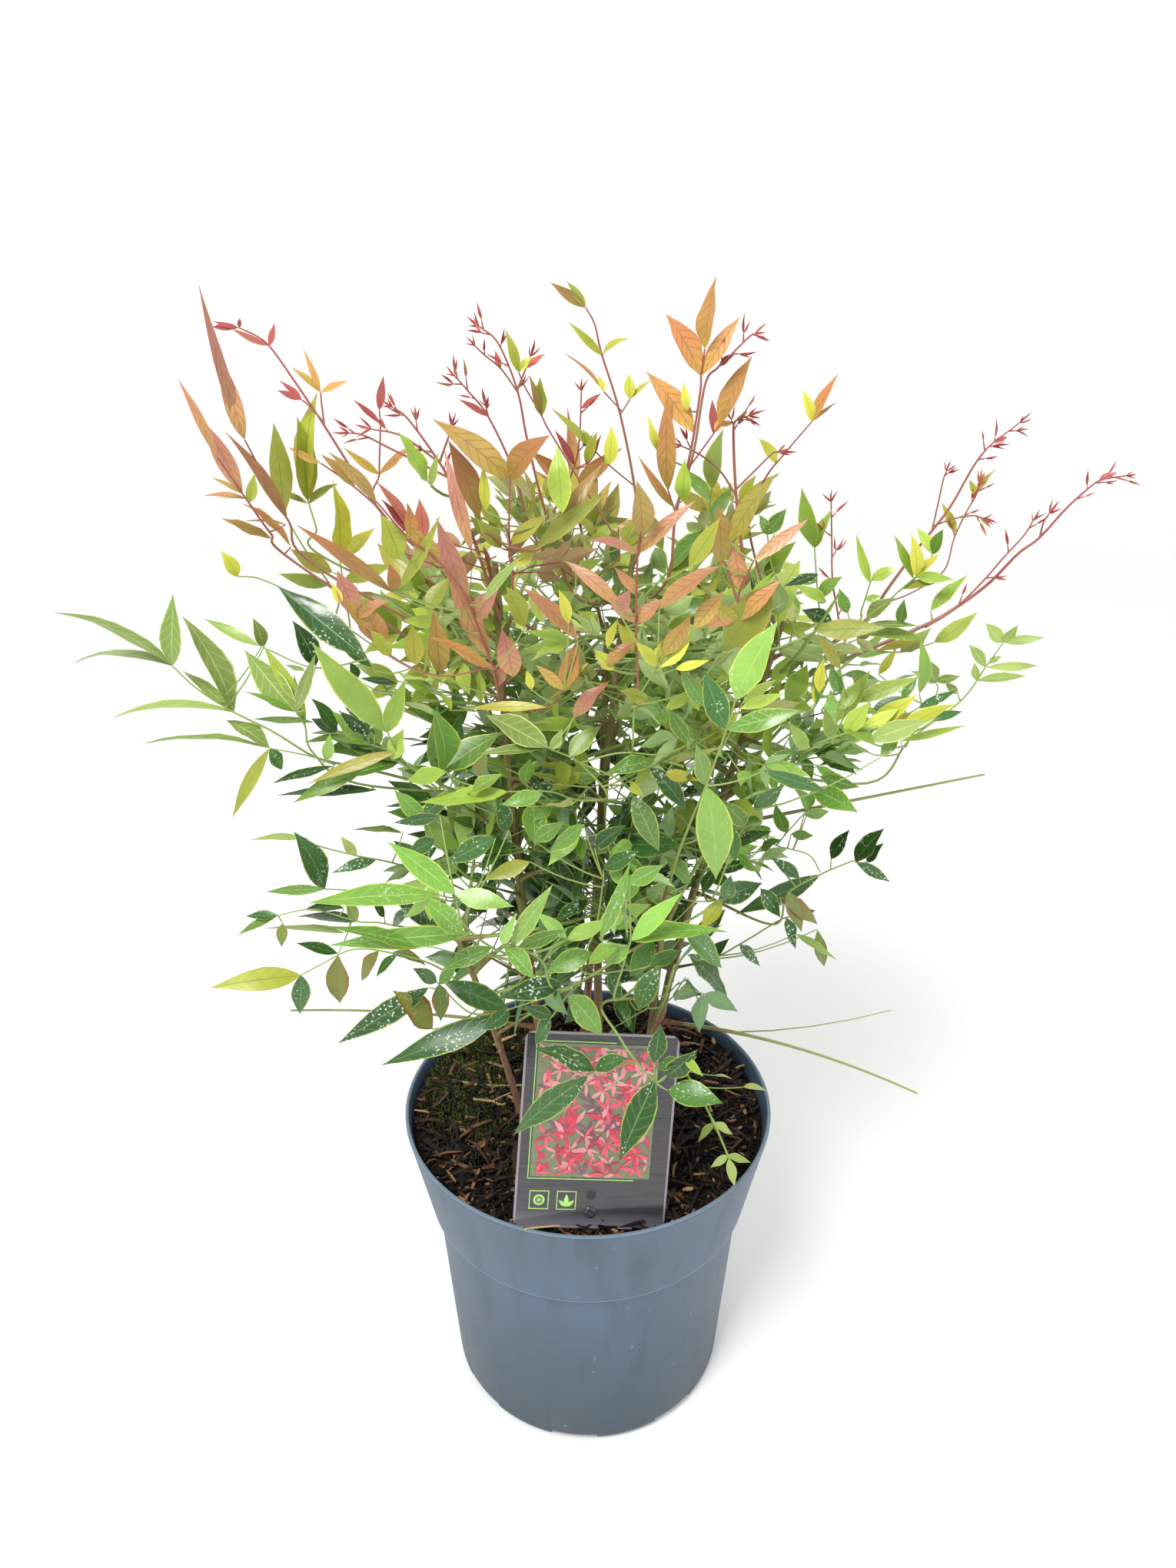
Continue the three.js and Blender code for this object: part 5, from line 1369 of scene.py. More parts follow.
# ------------------------------------------------------------------ pieces: pot and fill
def make_pot(settings):
    """The wall is turned from its profile, and the drain notches lift its foot: where an
    angle falls in a notch, every point further out than the notch's depth rises to it."""
    count, first, wide, tall, depth = NOTCHES
    half, step, turn = wide / 2 / FOOT_RADIUS, 2 * math.pi / count, math.radians(first)
    edges = [
        turn + step * i + sign * (half + nudge)
        for i in range(count) for sign in (-1, 1) for nudge in (-0.0012, 0.0012)
    ]
    angles = np.sort(np.concatenate([even_angles(POT_SIDES), np.mod(edges, 2 * math.pi)]))
    points, quads, tris = revolved(POT_PROFILE, angles)
    reach = np.hypot(points[:, 0], points[:, 1])
    away = np.abs(np.mod(np.arctan2(points[:, 1], points[:, 0]) - turn + step / 2, step) - step / 2)
    lifted = (away < half) & (reach > depth) & (points[:, 2] < tall)
    outer = np.arange(len(points)) < len(angles) * POT_OUTER_COUNT
    points[lifted & outer, 2] = tall
    work = Patchwork()
    work.put(points, [(quads, 0), (tris, 0)])
    plastic = pot_material(settings.colour)
    work.build("pot_shell", [plastic], ["pot"], crease=40)


def bed_height(x, y):
    """Height of the fill: banked up at the back and the left, falling to the wall, with
    two sizes of smooth noise."""
    reach = np.hypot(x, y)
    fall = np.clip((reach - 82) / 18, 0, 1)
    banked = BED_BANK * np.clip((reach - 40) / 60, 0, 1) * np.clip(0.35 + y / 100 - 0.2 * x / 100, 0, 1)
    rough = sum(
        height * (value_noise(x / size + shift, y / size + shift, seed) - 0.5)
        for height, size, shift, seed in BED_NOISE
    )
    return SOIL_LEVEL - 0.4 - 1.6 * fall**1.5 + banked + rough * (1 - 0.5 * fall)


def make_bed(settings):
    """The fill under the shreds: a disc on rings and spokes with its own height, closed
    by a skirt and a flat underside."""
    angles = even_angles(180)
    reach = np.linspace(1.5, BED_RADIUS, 56)[:, None]
    x, y = reach * np.cos(angles), reach * np.sin(angles)
    top = np.stack([x, y, bed_height(x, y)], -1)
    skirt = np.stack([x[-1:] * 0.93, y[-1:] * 0.93, np.full((1, len(angles)), BED_FLOOR)], -1)
    grid = np.concatenate([top, skirt])
    middle = bed_height(np.zeros(1), np.zeros(1))[0]
    points = np.concatenate([grid.reshape(-1, 3), [[0, 0, middle], [0, 0, BED_FLOOR]]])
    index, ahead, quads, _ = ring_faces(*grid.shape[:2], flip=True)
    crown = np.stack([np.full(len(angles), index.size), index[0], ahead[0]], -1)
    base = np.stack([np.full(len(angles), index.size + 1), ahead[-1], index[-1]], -1)
    work = Patchwork()
    work.put(points, [(quads, 0), (crown, 0), (base, 0)])
    work.build("peat_bed", [peat_material(settings.peat)], ["soil"])


def laths(centres, yaw, pitch, roll, length, width, thick, bend):
    """Many small bent laths at once: three rings of four points along each, the middle
    ring raised by the bend, narrowed at both ends. Returns points and face groups."""
    count = len(centres)
    along = np.stack([np.cos(yaw) * np.cos(pitch), np.sin(yaw) * np.cos(pitch), np.sin(pitch)], -1)
    flat = np.stack([-np.sin(yaw), np.cos(yaw), np.zeros(count)], -1)
    up = np.cross(along, flat)
    side = flat * np.cos(roll)[:, None] + up * np.sin(roll)[:, None]
    up = np.cross(along, side)
    run = np.array([-0.5, 0.02, 0.5])
    narrow = np.array([0.55, 1.0, 0.45])
    raised = np.array([0.0, 1.0, 0.0])
    middle = (
        centres[:, None] + along[:, None] * (run * length[:, None])[..., None]
        + up[:, None] * (raised * bend[:, None])[..., None]
    )
    corners = np.array([[-1, -1], [1, -1], [1, 1], [-1, 1]]) / 2
    points = (
        middle[:, :, None]
        + side[:, None, None] * (corners[:, 0] * (narrow * width[:, None])[..., None])[..., None]
        + up[:, None, None] * (corners[:, 1] * thick[:, None, None])[..., None]
    )
    index = np.arange(count * 12).reshape(count, 3, 4)
    ahead = np.roll(index, -1, axis=2)
    quads = np.stack([index[:, :-1], ahead[:, :-1], ahead[:, 1:], index[:, 1:]], -1)
    caps = np.stack([index[:, 0, ::-1], index[:, 2]], 1)
    return points.reshape(-1, 3), quads.reshape(count, -1, 4), caps


def put_laths(work, made, number, tone):
    """Adds laths to a mesh, each with its finish number and its tone."""
    points, quads, caps = made
    groups = [(quads.reshape(-1, 4), np.repeat(number, 8)), (caps.reshape(-1, 4), np.repeat(number, 2))]
    work.put(points, groups, tone=np.repeat(tone, 12))


def scattered(rng, count, outer):
    """Points spread evenly over a disc: radius = outer times the root of a draw."""
    reach = outer * np.sqrt(rng.rand(count))
    angle = rng.rand(count) * 2 * math.pi
    return reach * np.cos(angle), reach * np.sin(angle)


def make_shreds(settings):
    """Bark shreds and crumbs strewn in layers over the bed."""
    rng = np.random.RandomState(21)
    work = Patchwork()
    for count, lengths, widths, thick, lift in SHREDS:
        count = int(count * settings.density)
        x, y = scattered(rng, count, BARK_REACH)
        length = lengths[0] + (lengths[1] - lengths[0]) * rng.rand(count) ** 2.2
        width = widths[0] + (widths[1] - widths[0]) * rng.rand(count) ** 1.5
        pitch = rng.randn(count) * 0.2
        reach = np.hypot(x, y)
        length = np.minimum(length, 2 * np.maximum(100.5 - reach, 1.5))
        z = bed_height(x, y) + lift * rng.rand(count) + 0.4 + 0.3 * length * np.abs(np.sin(pitch))
        made = laths(
            np.stack([x, y, z], -1), rng.rand(count) * 2 * math.pi, pitch, rng.randn(count) * 0.4,
            length, width, thick * (0.6 + 0.8 * rng.rand(count)), length * 0.08 * rng.randn(count),
        )
        put_laths(work, made, rng.choice(len(BARK_ODDS), count, p=BARK_ODDS), rng.rand(count))
    finishes = [shred_material(f"pine_bark_shred_{i + 1}", shade) for i, shade in enumerate(BARK_SHADES)]
    work.build("bark_shreds", finishes, ["soil"], crease=30)


def make_moss(settings):
    """Moss and liverwort at the left of the fill: tufts of fine upright spikes, each a
    lath that stands up and leans a little."""
    rng = np.random.RandomState(33)
    count = settings.tufts
    centre = np.array(MOSS_PATCHES)[rng.choice(len(MOSS_PATCHES), count)]
    x = centre[:, 0] + rng.randn(count) * centre[:, 2]
    y = centre[:, 1] + rng.randn(count) * centre[:, 2]
    keep = np.hypot(x, y) < 98
    x, y = x[keep], y[keep]
    count = len(x)
    length = 2.0 + 3.2 * rng.rand(count)
    pitch = math.pi / 2 + rng.randn(count) * 0.6
    z = bed_height(x, y) + length * 0.4 + 1.2 * rng.rand(count)
    made = laths(
        np.stack([x, y, z], -1), rng.rand(count) * 6.28, pitch, rng.rand(count) * 6.28, length,
        0.5 + 0.5 * rng.rand(count), np.full(count, 0.4), rng.randn(count) * 0.3,
    )
    work = Patchwork()
    put_laths(work, made, rng.choice(2, count), rng.rand(count))
    finishes = [shred_material("moss_green", "#56652a"), shred_material("moss_olive", "#37411b")]
    work.build("moss", finishes, ["soil"], crease=30)


def smooth_path(knots, count):
    """A smooth path through knots: Catmull-Rom pieces, evenly shared among the gaps."""
    knots = np.asarray(knots, float)
    ends = np.concatenate([[2 * knots[0] - knots[1]], knots, [2 * knots[-1] - knots[-2]]])
    place = np.linspace(0, len(knots) - 1 - 1e-9, count)
    i = place.astype(int)
    f = (place - i)[:, None]
    a, b, c, d = ends[i], ends[i + 1], ends[i + 2], ends[i + 3]
    return 0.5 * (2 * b + (c - a) * f + (2 * a - 5 * b + 4 * c - d) * f**2 + (3 * b - a - 3 * c + d) * f**3)


def make_loose_stalks():
    """Leafless stalks and straws: fine limbs through a few knots each."""
    work = Patchwork()
    for knots, thick, finish in LOOSE_STALKS:
        path = smooth_path(knots, 24)
        radii = thick * (1 - 0.35 * np.linspace(0, 1, 24))
        work.put_tubes(path[None], radii[None], 6, np.array([0.1, 0.2, 1.0]), finish)
    finishes = [
        stalk_material("bare_green_stalk", linear("#93a45c"), "#a3705a"),
        stalk_material("dry_straw", linear("#c1a273"), "#a98a5c"),
    ]
    work.build("straws", finishes, ["soil"])


# ---------------------------------------------------------------------- pieces: label
def rounded_outline(width, height, corner, steps):
    """A rectangle with quarter-circle corners, from its lower left corner round."""
    angle = np.linspace(0, math.pi / 2, steps)
    spots = [
        (width / 2 - corner, corner, -math.pi / 2), (width / 2 - corner, height - corner, 0),
        (corner - width / 2, height - corner, math.pi / 2), (corner - width / 2, corner, math.pi),
    ]
    return np.concatenate(
        [np.stack([x + corner * np.cos(angle + turn), y + corner * np.sin(angle + turn)], -1)
         for x, y, turn in spots]
    )


def plate(work, outline, low, high, finish, inset=0.0):
    """A flat plate between two heights of the label's frame, its edge eased by an inset."""
    middle = (outline.max(0) + outline.min(0)) / 2
    shrunk = middle + (outline - middle) * (1 - inset)
    ease = (high - low) * 0.3
    rings = [(shrunk, low), (outline, low + ease), (outline, high - ease), (shrunk, high)]
    points = np.concatenate([np.column_stack([ring, np.full(len(ring), z)]) for ring, z in rings])
    uv = (points[:, :2] - outline.min(0)) / (outline.max(0) - outline.min(0))
    work.put_rings(on_label(points), len(rings), finish, uv=uv)


def make_label_card(settings):
    """The card: a thin plate with round corners and eased edges."""
    work = Patchwork()
    plate(work, rounded_outline(*CARD_SIZE, 5, 9), 0, 0.8, 0, inset=0.004)
    card = card_material("printed_card_film", settings.card)
    work.build("label_sheet", [card], ["label_card"], crease=30)


def leaf_outlines(centres, turn, length, width):
    """Flat pointed leaves: half width = w sin(pi s^0.85) at four steps along each."""
    s = np.array([0.0, 0.28, 0.55, 0.8, 1.0])
    half = width[:, None] / 2 * np.sin(math.pi * s**0.85)
    run = s * length[:, None]
    x = np.concatenate([run[:, :4], run[:, :0:-1]], axis=1)
    y = np.concatenate([-half[:, :4], half[:, :0:-1]], axis=1)
    cos, sin = np.cos(turn)[:, None], np.sin(turn)[:, None]
    return centres[:, None] + np.stack([x * cos - y * sin, x * sin + y * cos], -1)


def make_label_print():
    """The picture: a dark ground with rosettes of pointed leaves in loose slanting rows,
    inside a thin frame, and two small square signs with a ring and a sprout. The upper rosettes
    are paler, a painted reflection."""
    rng = np.random.RandomState(5)
    work = Patchwork()
    left, right, low, high = PICTURE
    plate(work, rectangle(left, right, low, high), 0.78, 0.84, 0)
    columns, rows = ROSETTES
    u, v = np.meshgrid(np.arange(columns), np.arange(rows))
    spots = np.stack([(u + 0.5 * (v % 2) + 0.25) / columns, (v + 0.5) / rows], -1).reshape(-1, 2)
    spots += rng.randn(len(spots), 2) * 0.035
    centres, turns, lengths, widths, numbers = [], [], [], [], []
    for spot in spots:
        leaves = rng.randint(5, 8)
        first = rng.rand() * 6.28
        # Upper rosettes: paler inks, a painted reflection.
        mixed = PRINT_WITH_PAINTED_REFLECTION if spot[1] > 0.45 + 0.3 * rng.rand() else DEEP_PRINT
        tone = mixed[rng.randint(len(mixed))]
        for leaf in range(leaves):
            turns.append(first + leaf * 6.28 / leaves + rng.randn() * 0.2)
            lengths.append(4.6 + 4.4 * rng.rand())
            widths.append(lengths[-1] * (0.2 + 0.14 * rng.rand()))
            centres.append([left + spot[0] * (right - left), low + spot[1] * (high - low)])
            numbers.append(int(tone if rng.rand() < 0.7 else mixed[rng.randint(len(mixed))]))
    outlines = leaf_outlines(np.array(centres), np.array(turns), np.array(lengths), np.array(widths))
    inside = (
        (outlines.min(1) > [left + 0.2, low + 0.2]) & (outlines.max(1) < [right - 0.2, high - 0.2])
    ).all(1)
    for layer, leaf in enumerate(rng.permutation(np.flatnonzero(inside))):
        z = 0.85 + 0.0012 * layer
        ring = outlines[leaf]
        points = np.concatenate(
            [np.column_stack([ring, np.full(len(ring), z + rise)]) for rise in (0, 0.03)]
        )
        uv = np.tile(np.column_stack([np.linspace(0, 1, len(ring)), np.full(len(ring), 0.5)]), (2, 1))
        work.put_rings(on_label(points), 2, numbers[leaf], uv=uv, tone=rng.rand())
    line, x0, y0, y1 = PRINT_LINE, left - 1.2, low - 1.2, high + 1.2
    bars = [(x0, x0 + line, y0, y1), (x0, right - 8, y0, y0 + line), (x0, right - 22, y1 - line, y1)]
    floor, roof = SIGN_HEIGHTS
    for x in SIGNS:
        end = x + roof - floor
        bars += [
            (x, x + line, floor, roof), (end - line, end, floor, roof),
            (x + line, end - line, floor, floor + line), (x + line, end - line, roof - line, roof),
        ]
    for bar in bars:
        plate(work, rectangle(*bar), 0.79, 0.86, 7)
    angle = even_angles(24)
    circle = np.stack([np.cos(angle), np.sin(angle)], -1)
    for radius, bottom, top, ink in ((2.9, 0.79, 0.85, 7), (2.0, 0.8, 0.87, 0), (0.8, 0.82, 0.89, 7)):
        plate(work, circle * radius + [SIGNS[0] + 5, 15], bottom, top, ink)
    sprout = leaf_outlines(
        np.tile([SIGNS[1] + 5, 11.7], (3, 1)), np.radians([40, 90, 140]), np.array([5.2, 6.8, 5.2]),
        np.array([2.2, 2.5, 2.2]),
    )
    for rank, outline in enumerate(sprout):
        plate(work, outline, 0.79, 0.86 + 0.002 * rank, 7)
    finishes = [print_material(f"printed_ink_{i + 1}", shade) for i, shade in enumerate(INKS)]
    finishes.append(print_material("printed_ink_light_green", "#9fd46a"))
    work.build("label_print", finishes, ["label_card"], crease=30)


def make_label_button():
    """The peg's button through the card: turned from a small domed profile, with the
    spare hole above it as a dark ring closed across its middle: painted shade fills the hole."""
    work = Patchwork()
    for finish, (profile, height) in enumerate(((BUTTON, RIVET_UP), (HOLE_RIM, RIVET_UP + 9))):
        points, quads, tris = revolved(profile, even_angles(28))
        work.put(on_label(points + [0, height, 0]), [(quads, finish), (tris, finish)])
    finishes = [
        plastic_material("black_peg_plastic", "#3a3d42", 0.25),
        # Painted shade: the dark disc stands for the hole.
        plastic_material("punched_hole_painted_shade", "#2c2b30", 0.4),
    ]
    work.build("label_button", finishes, ["label_card"], crease=40)


# ------------------------------------------------------------------------- materials
def mirrored_uv(tree):
    """The place on a leaf, mirrored at its rib: as a vector, and as its parts."""
    uv = add(tree, "UVMap", uv_map="UVMap")
    centred = add(tree, "VectorMath", {0: uv, 1: (0.5, 0, 0)}, operation="SUBTRACT")
    mirrored = add(tree, "VectorMath", {0: centred}, operation="ABSOLUTE")
    return mirrored, add(tree, "SeparateXYZ", {0: mirrored}, None)


def leaf_material(name, blade, foot, vein, margin, rough, specks):
    """Living leaf: a waxy skin over a blade with a sunken rib, slanting side veins, a
    paler margin, cloudy patches, and dried water specks on the older leaves."""
    waxy = 0.7 if specks else 0.12
    burnt = name.startswith("scorched")
    drawn = 0.5 if name.startswith(("rose", "bronze", "orange")) else 0.24
    material, tree, shader = new_material(name, rough, Coat_Roughness=0.16, Specular_IOR_Level=0.38)
    place = add(tree, "TexCoord", out="Object")
    mirrored, split = mirrored_uv(tree)
    rib = add(tree, "MapRange", {0: split[0], 1: 0.01, 2: 0.035, 3: 0.7, 4: 0.0})
    ragged = add(tree, "TexNoise", {"Vector": place, "Scale": 170.0, "Detail": 2.0})
    spread = add(tree, "Math", {0: ragged, 1: 0.5 if burnt else 0.04}, operation="MULTIPLY")
    reach = add(tree, "Math", {0: split[0], 1: spread}, operation="ADD")
    starts = 0.6 if burnt else 0.455
    edge = add(tree, "MapRange", {0: reach, 1: starts, 2: starts + 0.05, 3: 0.0, 4: 0.75})
    low = add(tree, "MapRange", {0: split[1], 1: 0.0, 2: 0.6, 3: 0.75, 4: 0.0})
    slant = add(
        tree, "Mapping", {"Vector": mirrored, "Rotation": (0, 0, math.radians(38)), "Scale": (0.45, 1, 1)}
    )
    waves = add(
        tree, "TexWave", {"Vector": slant, "Scale": 2.9, "Distortion": 1.2, "Detail": 1.0}, "Fac",
        wave_type="BANDS", bands_direction="Y",
    )
    veins = add(tree, "MapRange", {0: waves, 1: 0.84, 2: 1.0, 3: 0.0, 4: drawn})
    lines = add(tree, "Math", {0: rib, 1: veins}, operation="MAXIMUM")
    clouds = add(tree, "TexNoise", {"Vector": place, "Scale": 110.0, "Detail": 3.0})
    cloudy = add(tree, "MapRange", {0: clouds, 1: 0.35, 2: 0.7, 3: 0.0, 4: 0.5})
    tone = add(tree, "Attribute", attribute_name="tone", attribute_type="GEOMETRY", out="Fac")
    light = add(tree, "MapRange", {0: tone, 3: 0.7, 4: 1.26})
    again = add(tree, "Math", {0: tone, 1: 7.3}, operation="MULTIPLY")
    chance = add(tree, "Math", {0: again}, operation="FRACT")
    wax = add(tree, "MapRange", {0: chance, 1: 0.4, 2: 1.0, 3: 0.02, 4: waxy})
    tree.links.new(wax, shader.inputs["Coat Weight"])
    base = blended(tree, low, linear(blade), linear(foot))
    shade = blended(tree, cloudy, base, scaled(linear(blade), 0.72))
    toned = add(tree, "HueSaturation", {"Value": light, "Color": shade})
    veined = blended(tree, lines, toned, linear(vein))
    colour = blended(tree, edge, veined, linear(margin))
    if specks:
        dots = add(tree, "TexVoronoi", {"Vector": place, "Scale": 560.0, "Randomness": 1.0})
        patch = add(tree, "TexNoise", {"Vector": place, "Scale": 60.0})
        size = add(tree, "MapRange", {0: patch, 1: 0.4, 2: 0.66, 3: 0.02, 4: 0.34})
        spot = add(tree, "Math", {0: dots, 1: size}, operation="LESS_THAN")
        faint = add(tree, "Math", {0: spot, 1: 0.55 * specks}, operation="MULTIPLY")
        colour = blended(tree, faint, colour, linear("#dfe9dc"))
    dress(tree, shader, colour, lines, 0.35, 0.0005, invert=True)
    return material


def underside_material(name, colour):
    """The underside of a leaf: dull, paler, with a raised rib and cloudy patches."""
    material, tree, shader = new_material(name, 0.62)
    place = add(tree, "TexCoord", out="Object")
    _, split = mirrored_uv(tree)
    rib = add(tree, "MapRange", {0: split[0], 1: 0.015, 2: 0.05, 3: 0.7, 4: 0.0})
    clouds = add(tree, "TexNoise", {"Vector": place, "Scale": 140.0, "Detail": 3.0})
    cloudy = add(tree, "MapRange", {0: clouds, 1: 0.35, 2: 0.7, 3: 0.0, 4: 0.6})
    shade = blended(tree, cloudy, linear(colour), scaled(linear(colour), 0.8))
    dress(tree, shader, blended(tree, rib, shade, scaled(linear(colour), 1.25)), rib, 0.4, 0.0005)
    return material


def stalk_material(name, colour, foot):
    """A wiry stalk: smooth and waxy, its colour turning towards the foot, finely ridged."""
    material, tree, shader = new_material(name, 0.42)
    uv = add(tree, "UVMap", uv_map="UVMap")
    split = add(tree, "SeparateXYZ", {0: uv}, None)
    place = add(tree, "TexCoord", out="Object")
    clouds = add(tree, "TexNoise", {"Vector": place, "Scale": 90.0, "Detail": 2.0})
    low = add(tree, "MapRange", {0: split[1], 1: 0.0, 2: 0.7, 3: 1.0, 4: 0.0})
    mixed = add(tree, "Math", {0: low, 1: clouds}, operation="MULTIPLY")
    shade = blended(tree, mixed, colour, linear(foot))
    ridges = add(tree, "TexWave", {"Vector": uv, "Scale": 1.6}, bands_direction="X", out="Fac")
    dress(tree, shader, shade, ridges, 0.25, 0.0002)
    return material


def bark_material(name, colour):
    """Thin nandina bark: purplish brown, split by fine long cracks that show paler
    cork, greener where it is young, higher up."""
    material, tree, shader = new_material(name, 0.68)
    place = add(tree, "TexCoord", out="Object")
    drawn = add(tree, "Mapping", {"Vector": place, "Scale": (1, 1, 0.09)})
    cracks = add(tree, "TexNoise", {"Vector": drawn, "Scale": 900.0, "Detail": 5.0, "Roughness": 0.7})
    pale = add(tree, "MapRange", {0: cracks, 1: 0.52, 2: 0.68, 3: 0.0, 4: 0.8})
    dark = add(tree, "MapRange", {0: cracks, 1: 0.44, 2: 0.3, 3: 0.0, 4: 0.7})
    patches = add(tree, "TexNoise", {"Vector": place, "Scale": 40.0, "Detail": 2.0})
    height = add(tree, "SeparateXYZ", {0: place}, 2)
    young = add(tree, "MapRange", {0: height, 1: 0.2, 2: 0.3, 3: 0.1, 4: 1.8})
    greener = add(tree, "Math", {0: young, 1: patches}, operation="MULTIPLY")
    base = blended(tree, greener, colour, linear("#7c7a3c"))
    corked = blended(tree, pale, base, linear("#b08a78"))
    shade = blended(tree, dark, corked, linear("#4a2a24"))
    dress(tree, shader, shade, cracks, 0.6, 0.0006)
    return material


def pot_material(colour):
    """Injection-moulded polypropylene, slate grey: a dull sheen, faint upright drag
    marks, scuffs at the widest places, and specks of dried peat and lime. Painted shade darkens
    the wall towards its foot, and the collar's ledge has a painted highlight over a painted shadow."""
    material, tree, shader = new_material("moulded_polypropylene", 0.5)
    place = add(tree, "TexCoord", out="Object")
    drawn = add(tree, "Mapping", {"Vector": place, "Scale": (1, 1, 0.15)})
    streaks = add(tree, "TexNoise", {"Vector": drawn, "Scale": 60.0, "Detail": 6.0})
    clouds = add(tree, "TexNoise", {"Vector": place, "Scale": 15.0, "Detail": 7.0, "Roughness": 0.66})
    faded = add(tree, "MapRange", {0: clouds, 1: 0.36, 2: 0.66, 3: 0.0, 4: 0.8})
    lined = add(tree, "MapRange", {0: streaks, 1: 0.5, 2: 0.72, 3: 0.0, 4: 0.55})
    pale = scaled(colour, 1.4)
    deep = [part * share for part, share in zip(colour, POT_DEEP)] + [1.0]
    height = add(tree, "SeparateXYZ", {0: place}, 2)
    # Painted shade: darker towards the foot, fading out 0.12 m up.
    shaded = add(tree, "MapRange", {0: height, 1: 0.0, 2: 0.12, 3: 1.0, 4: 0.0})
    lowered = blended(tree, shaded, blended(tree, faded, colour, pale), deep)
    shade = blended(tree, lined, lowered, deep)
    for scale, stretch, most, tone in POT_SCUFFS:
        laid = add(tree, "Mapping", {"Vector": place, "Scale": stretch})
        dots = add(tree, "TexVoronoi", {"Vector": laid, "Scale": scale})
        rare = add(tree, "TexNoise", {"Vector": place, "Scale": scale * 0.31, "Detail": 1.0})
        size = add(tree, "MapRange", {0: rare, 1: 0.5, 2: 0.74, 3: 0.0, 4: most})
        mark = add(tree, "MapRange", {0: dots, 1: size, 2: 0.0, 3: 0.0, 4: 0.75})
        shade = blended(tree, mark, shade, linear(tone))
    # Painted highlight and painted shadow at the collar's ledge, and a pale line at the rim's top.
    for level, share, tone in POT_LINES:
        near = add(tree, "Math", {0: height, 1: level, 2: 0.00065}, operation="COMPARE")
        line = add(tree, "Math", {0: near, 1: share}, operation="MULTIPLY")
        shade = blended(tree, line, shade, linear(tone))
    skin = add(tree, "TexNoise", {"Vector": place, "Scale": 900.0, "Detail": 2.0})
    dress(tree, shader, shade, skin, 0.12, 0.0003)
    rough = add(tree, "MapRange", {0: clouds, 1: 0.3, 2: 0.7, 3: 0.42, 4: 0.6})
    tree.links.new(rough, shader.inputs["Roughness"])
    return material


def peat_material(colour):
    """Moist peat: nearly black crumbs with fibres of brown."""
    material, tree, shader = new_material("moist_peat", 0.9, Specular_IOR_Level=0.2)
    place = add(tree, "TexCoord", out="Object")
    crumbs = add(tree, "TexNoise", {"Vector": place, "Scale": 420.0, "Detail": 6.0})
    brown = add(tree, "MapRange", {0: crumbs, 1: 0.45, 2: 0.7, 3: 0.0, 4: 0.9})
    dress(tree, shader, blended(tree, brown, colour, linear("#33251a")), crumbs, 1.0, 0.0015)
    return material


def shred_material(name, shade):
    """Shredded pine bark: torn fibres along the piece, damp and a little glossy."""
    material, tree, shader = new_material(name, 0.6, Specular_IOR_Level=0.25)
    place = add(tree, "TexCoord", out="Object")
    fibres = add(tree, "TexNoise", {"Vector": place, "Scale": 500.0, "Detail": 4.0})
    tone = add(tree, "Attribute", attribute_name="tone", attribute_type="GEOMETRY", out="Fac")
    light = add(tree, "MapRange", {0: tone, 3: 0.5, 4: 1.5})
    streak = add(tree, "MapRange", {0: fibres, 1: 0.35, 2: 0.7, 3: 0.0, 4: 0.7})
    mixed = blended(tree, streak, linear(shade), scaled(linear(shade), 0.5))
    toned = add(tree, "HueSaturation", {"Value": light, "Color": mixed})
    dress(tree, shader, toned, fibres, 0.7, 0.0006)
    return material


def card_material(name, colour):
    """Printed polypropylene film: glossy, printed as dark grey boards with grain, with a
    paler bare margin round the print, and a painted reflection, pale grey, along its lower edge."""
    material, tree, shader = new_material(name, 0.22, Coat_Weight=0.4)
    uv = add(tree, "UVMap", uv_map="UVMap")
    split = add(tree, "SeparateXYZ", {0: uv}, None)
    drawn = add(tree, "Mapping", {"Vector": uv, "Scale": (1.2, 26, 1)})
    grain = add(tree, "TexNoise", {"Vector": drawn, "Scale": 3.0, "Detail": 8.0, "Distortion": 0.6})
    streak = add(tree, "MapRange", {0: grain, 1: 0.3, 2: 0.7, 3: 0.0, 4: 1.0})
    boards = add(tree, "Math", {0: split[1], 1: 0.145}, operation="PINGPONG")
    gap = add(tree, "MapRange", {0: boards, 1: 0.0, 2: 0.008, 3: 0.85, 4: 0.0})
    centred = add(tree, "VectorMath", {0: uv, 1: (0.5, 0.5, 0)}, operation="SUBTRACT")
    away = add(tree, "VectorMath", {0: centred}, operation="ABSOLUTE")
    sides = add(tree, "SeparateXYZ", {0: away}, None)
    outer = add(tree, "Math", {0: sides[0], 1: 0.485}, operation="GREATER_THAN")
    upper = add(tree, "Math", {0: sides[1], 1: 0.488}, operation="GREATER_THAN")
    margin = add(tree, "Math", {0: outer, 1: upper}, operation="MAXIMUM")
    dark = scaled(colour, 0.55)
    # Painted reflection: the card's lowest part is mixed towards pale grey.
    lower = add(tree, "MapRange", {0: split[1], 1: 0.01, 2: 0.09, 3: 0.6, 4: 0.0})
    boards_with_painted_reflection = blended(tree, lower, blended(tree, streak, dark, colour), linear("#8a8994"))
    split_boards = blended(tree, gap, boards_with_painted_reflection, scaled(colour, 0.25))
    dress(tree, shader, blended(tree, margin, split_boards, linear("#857c83")))
    return material


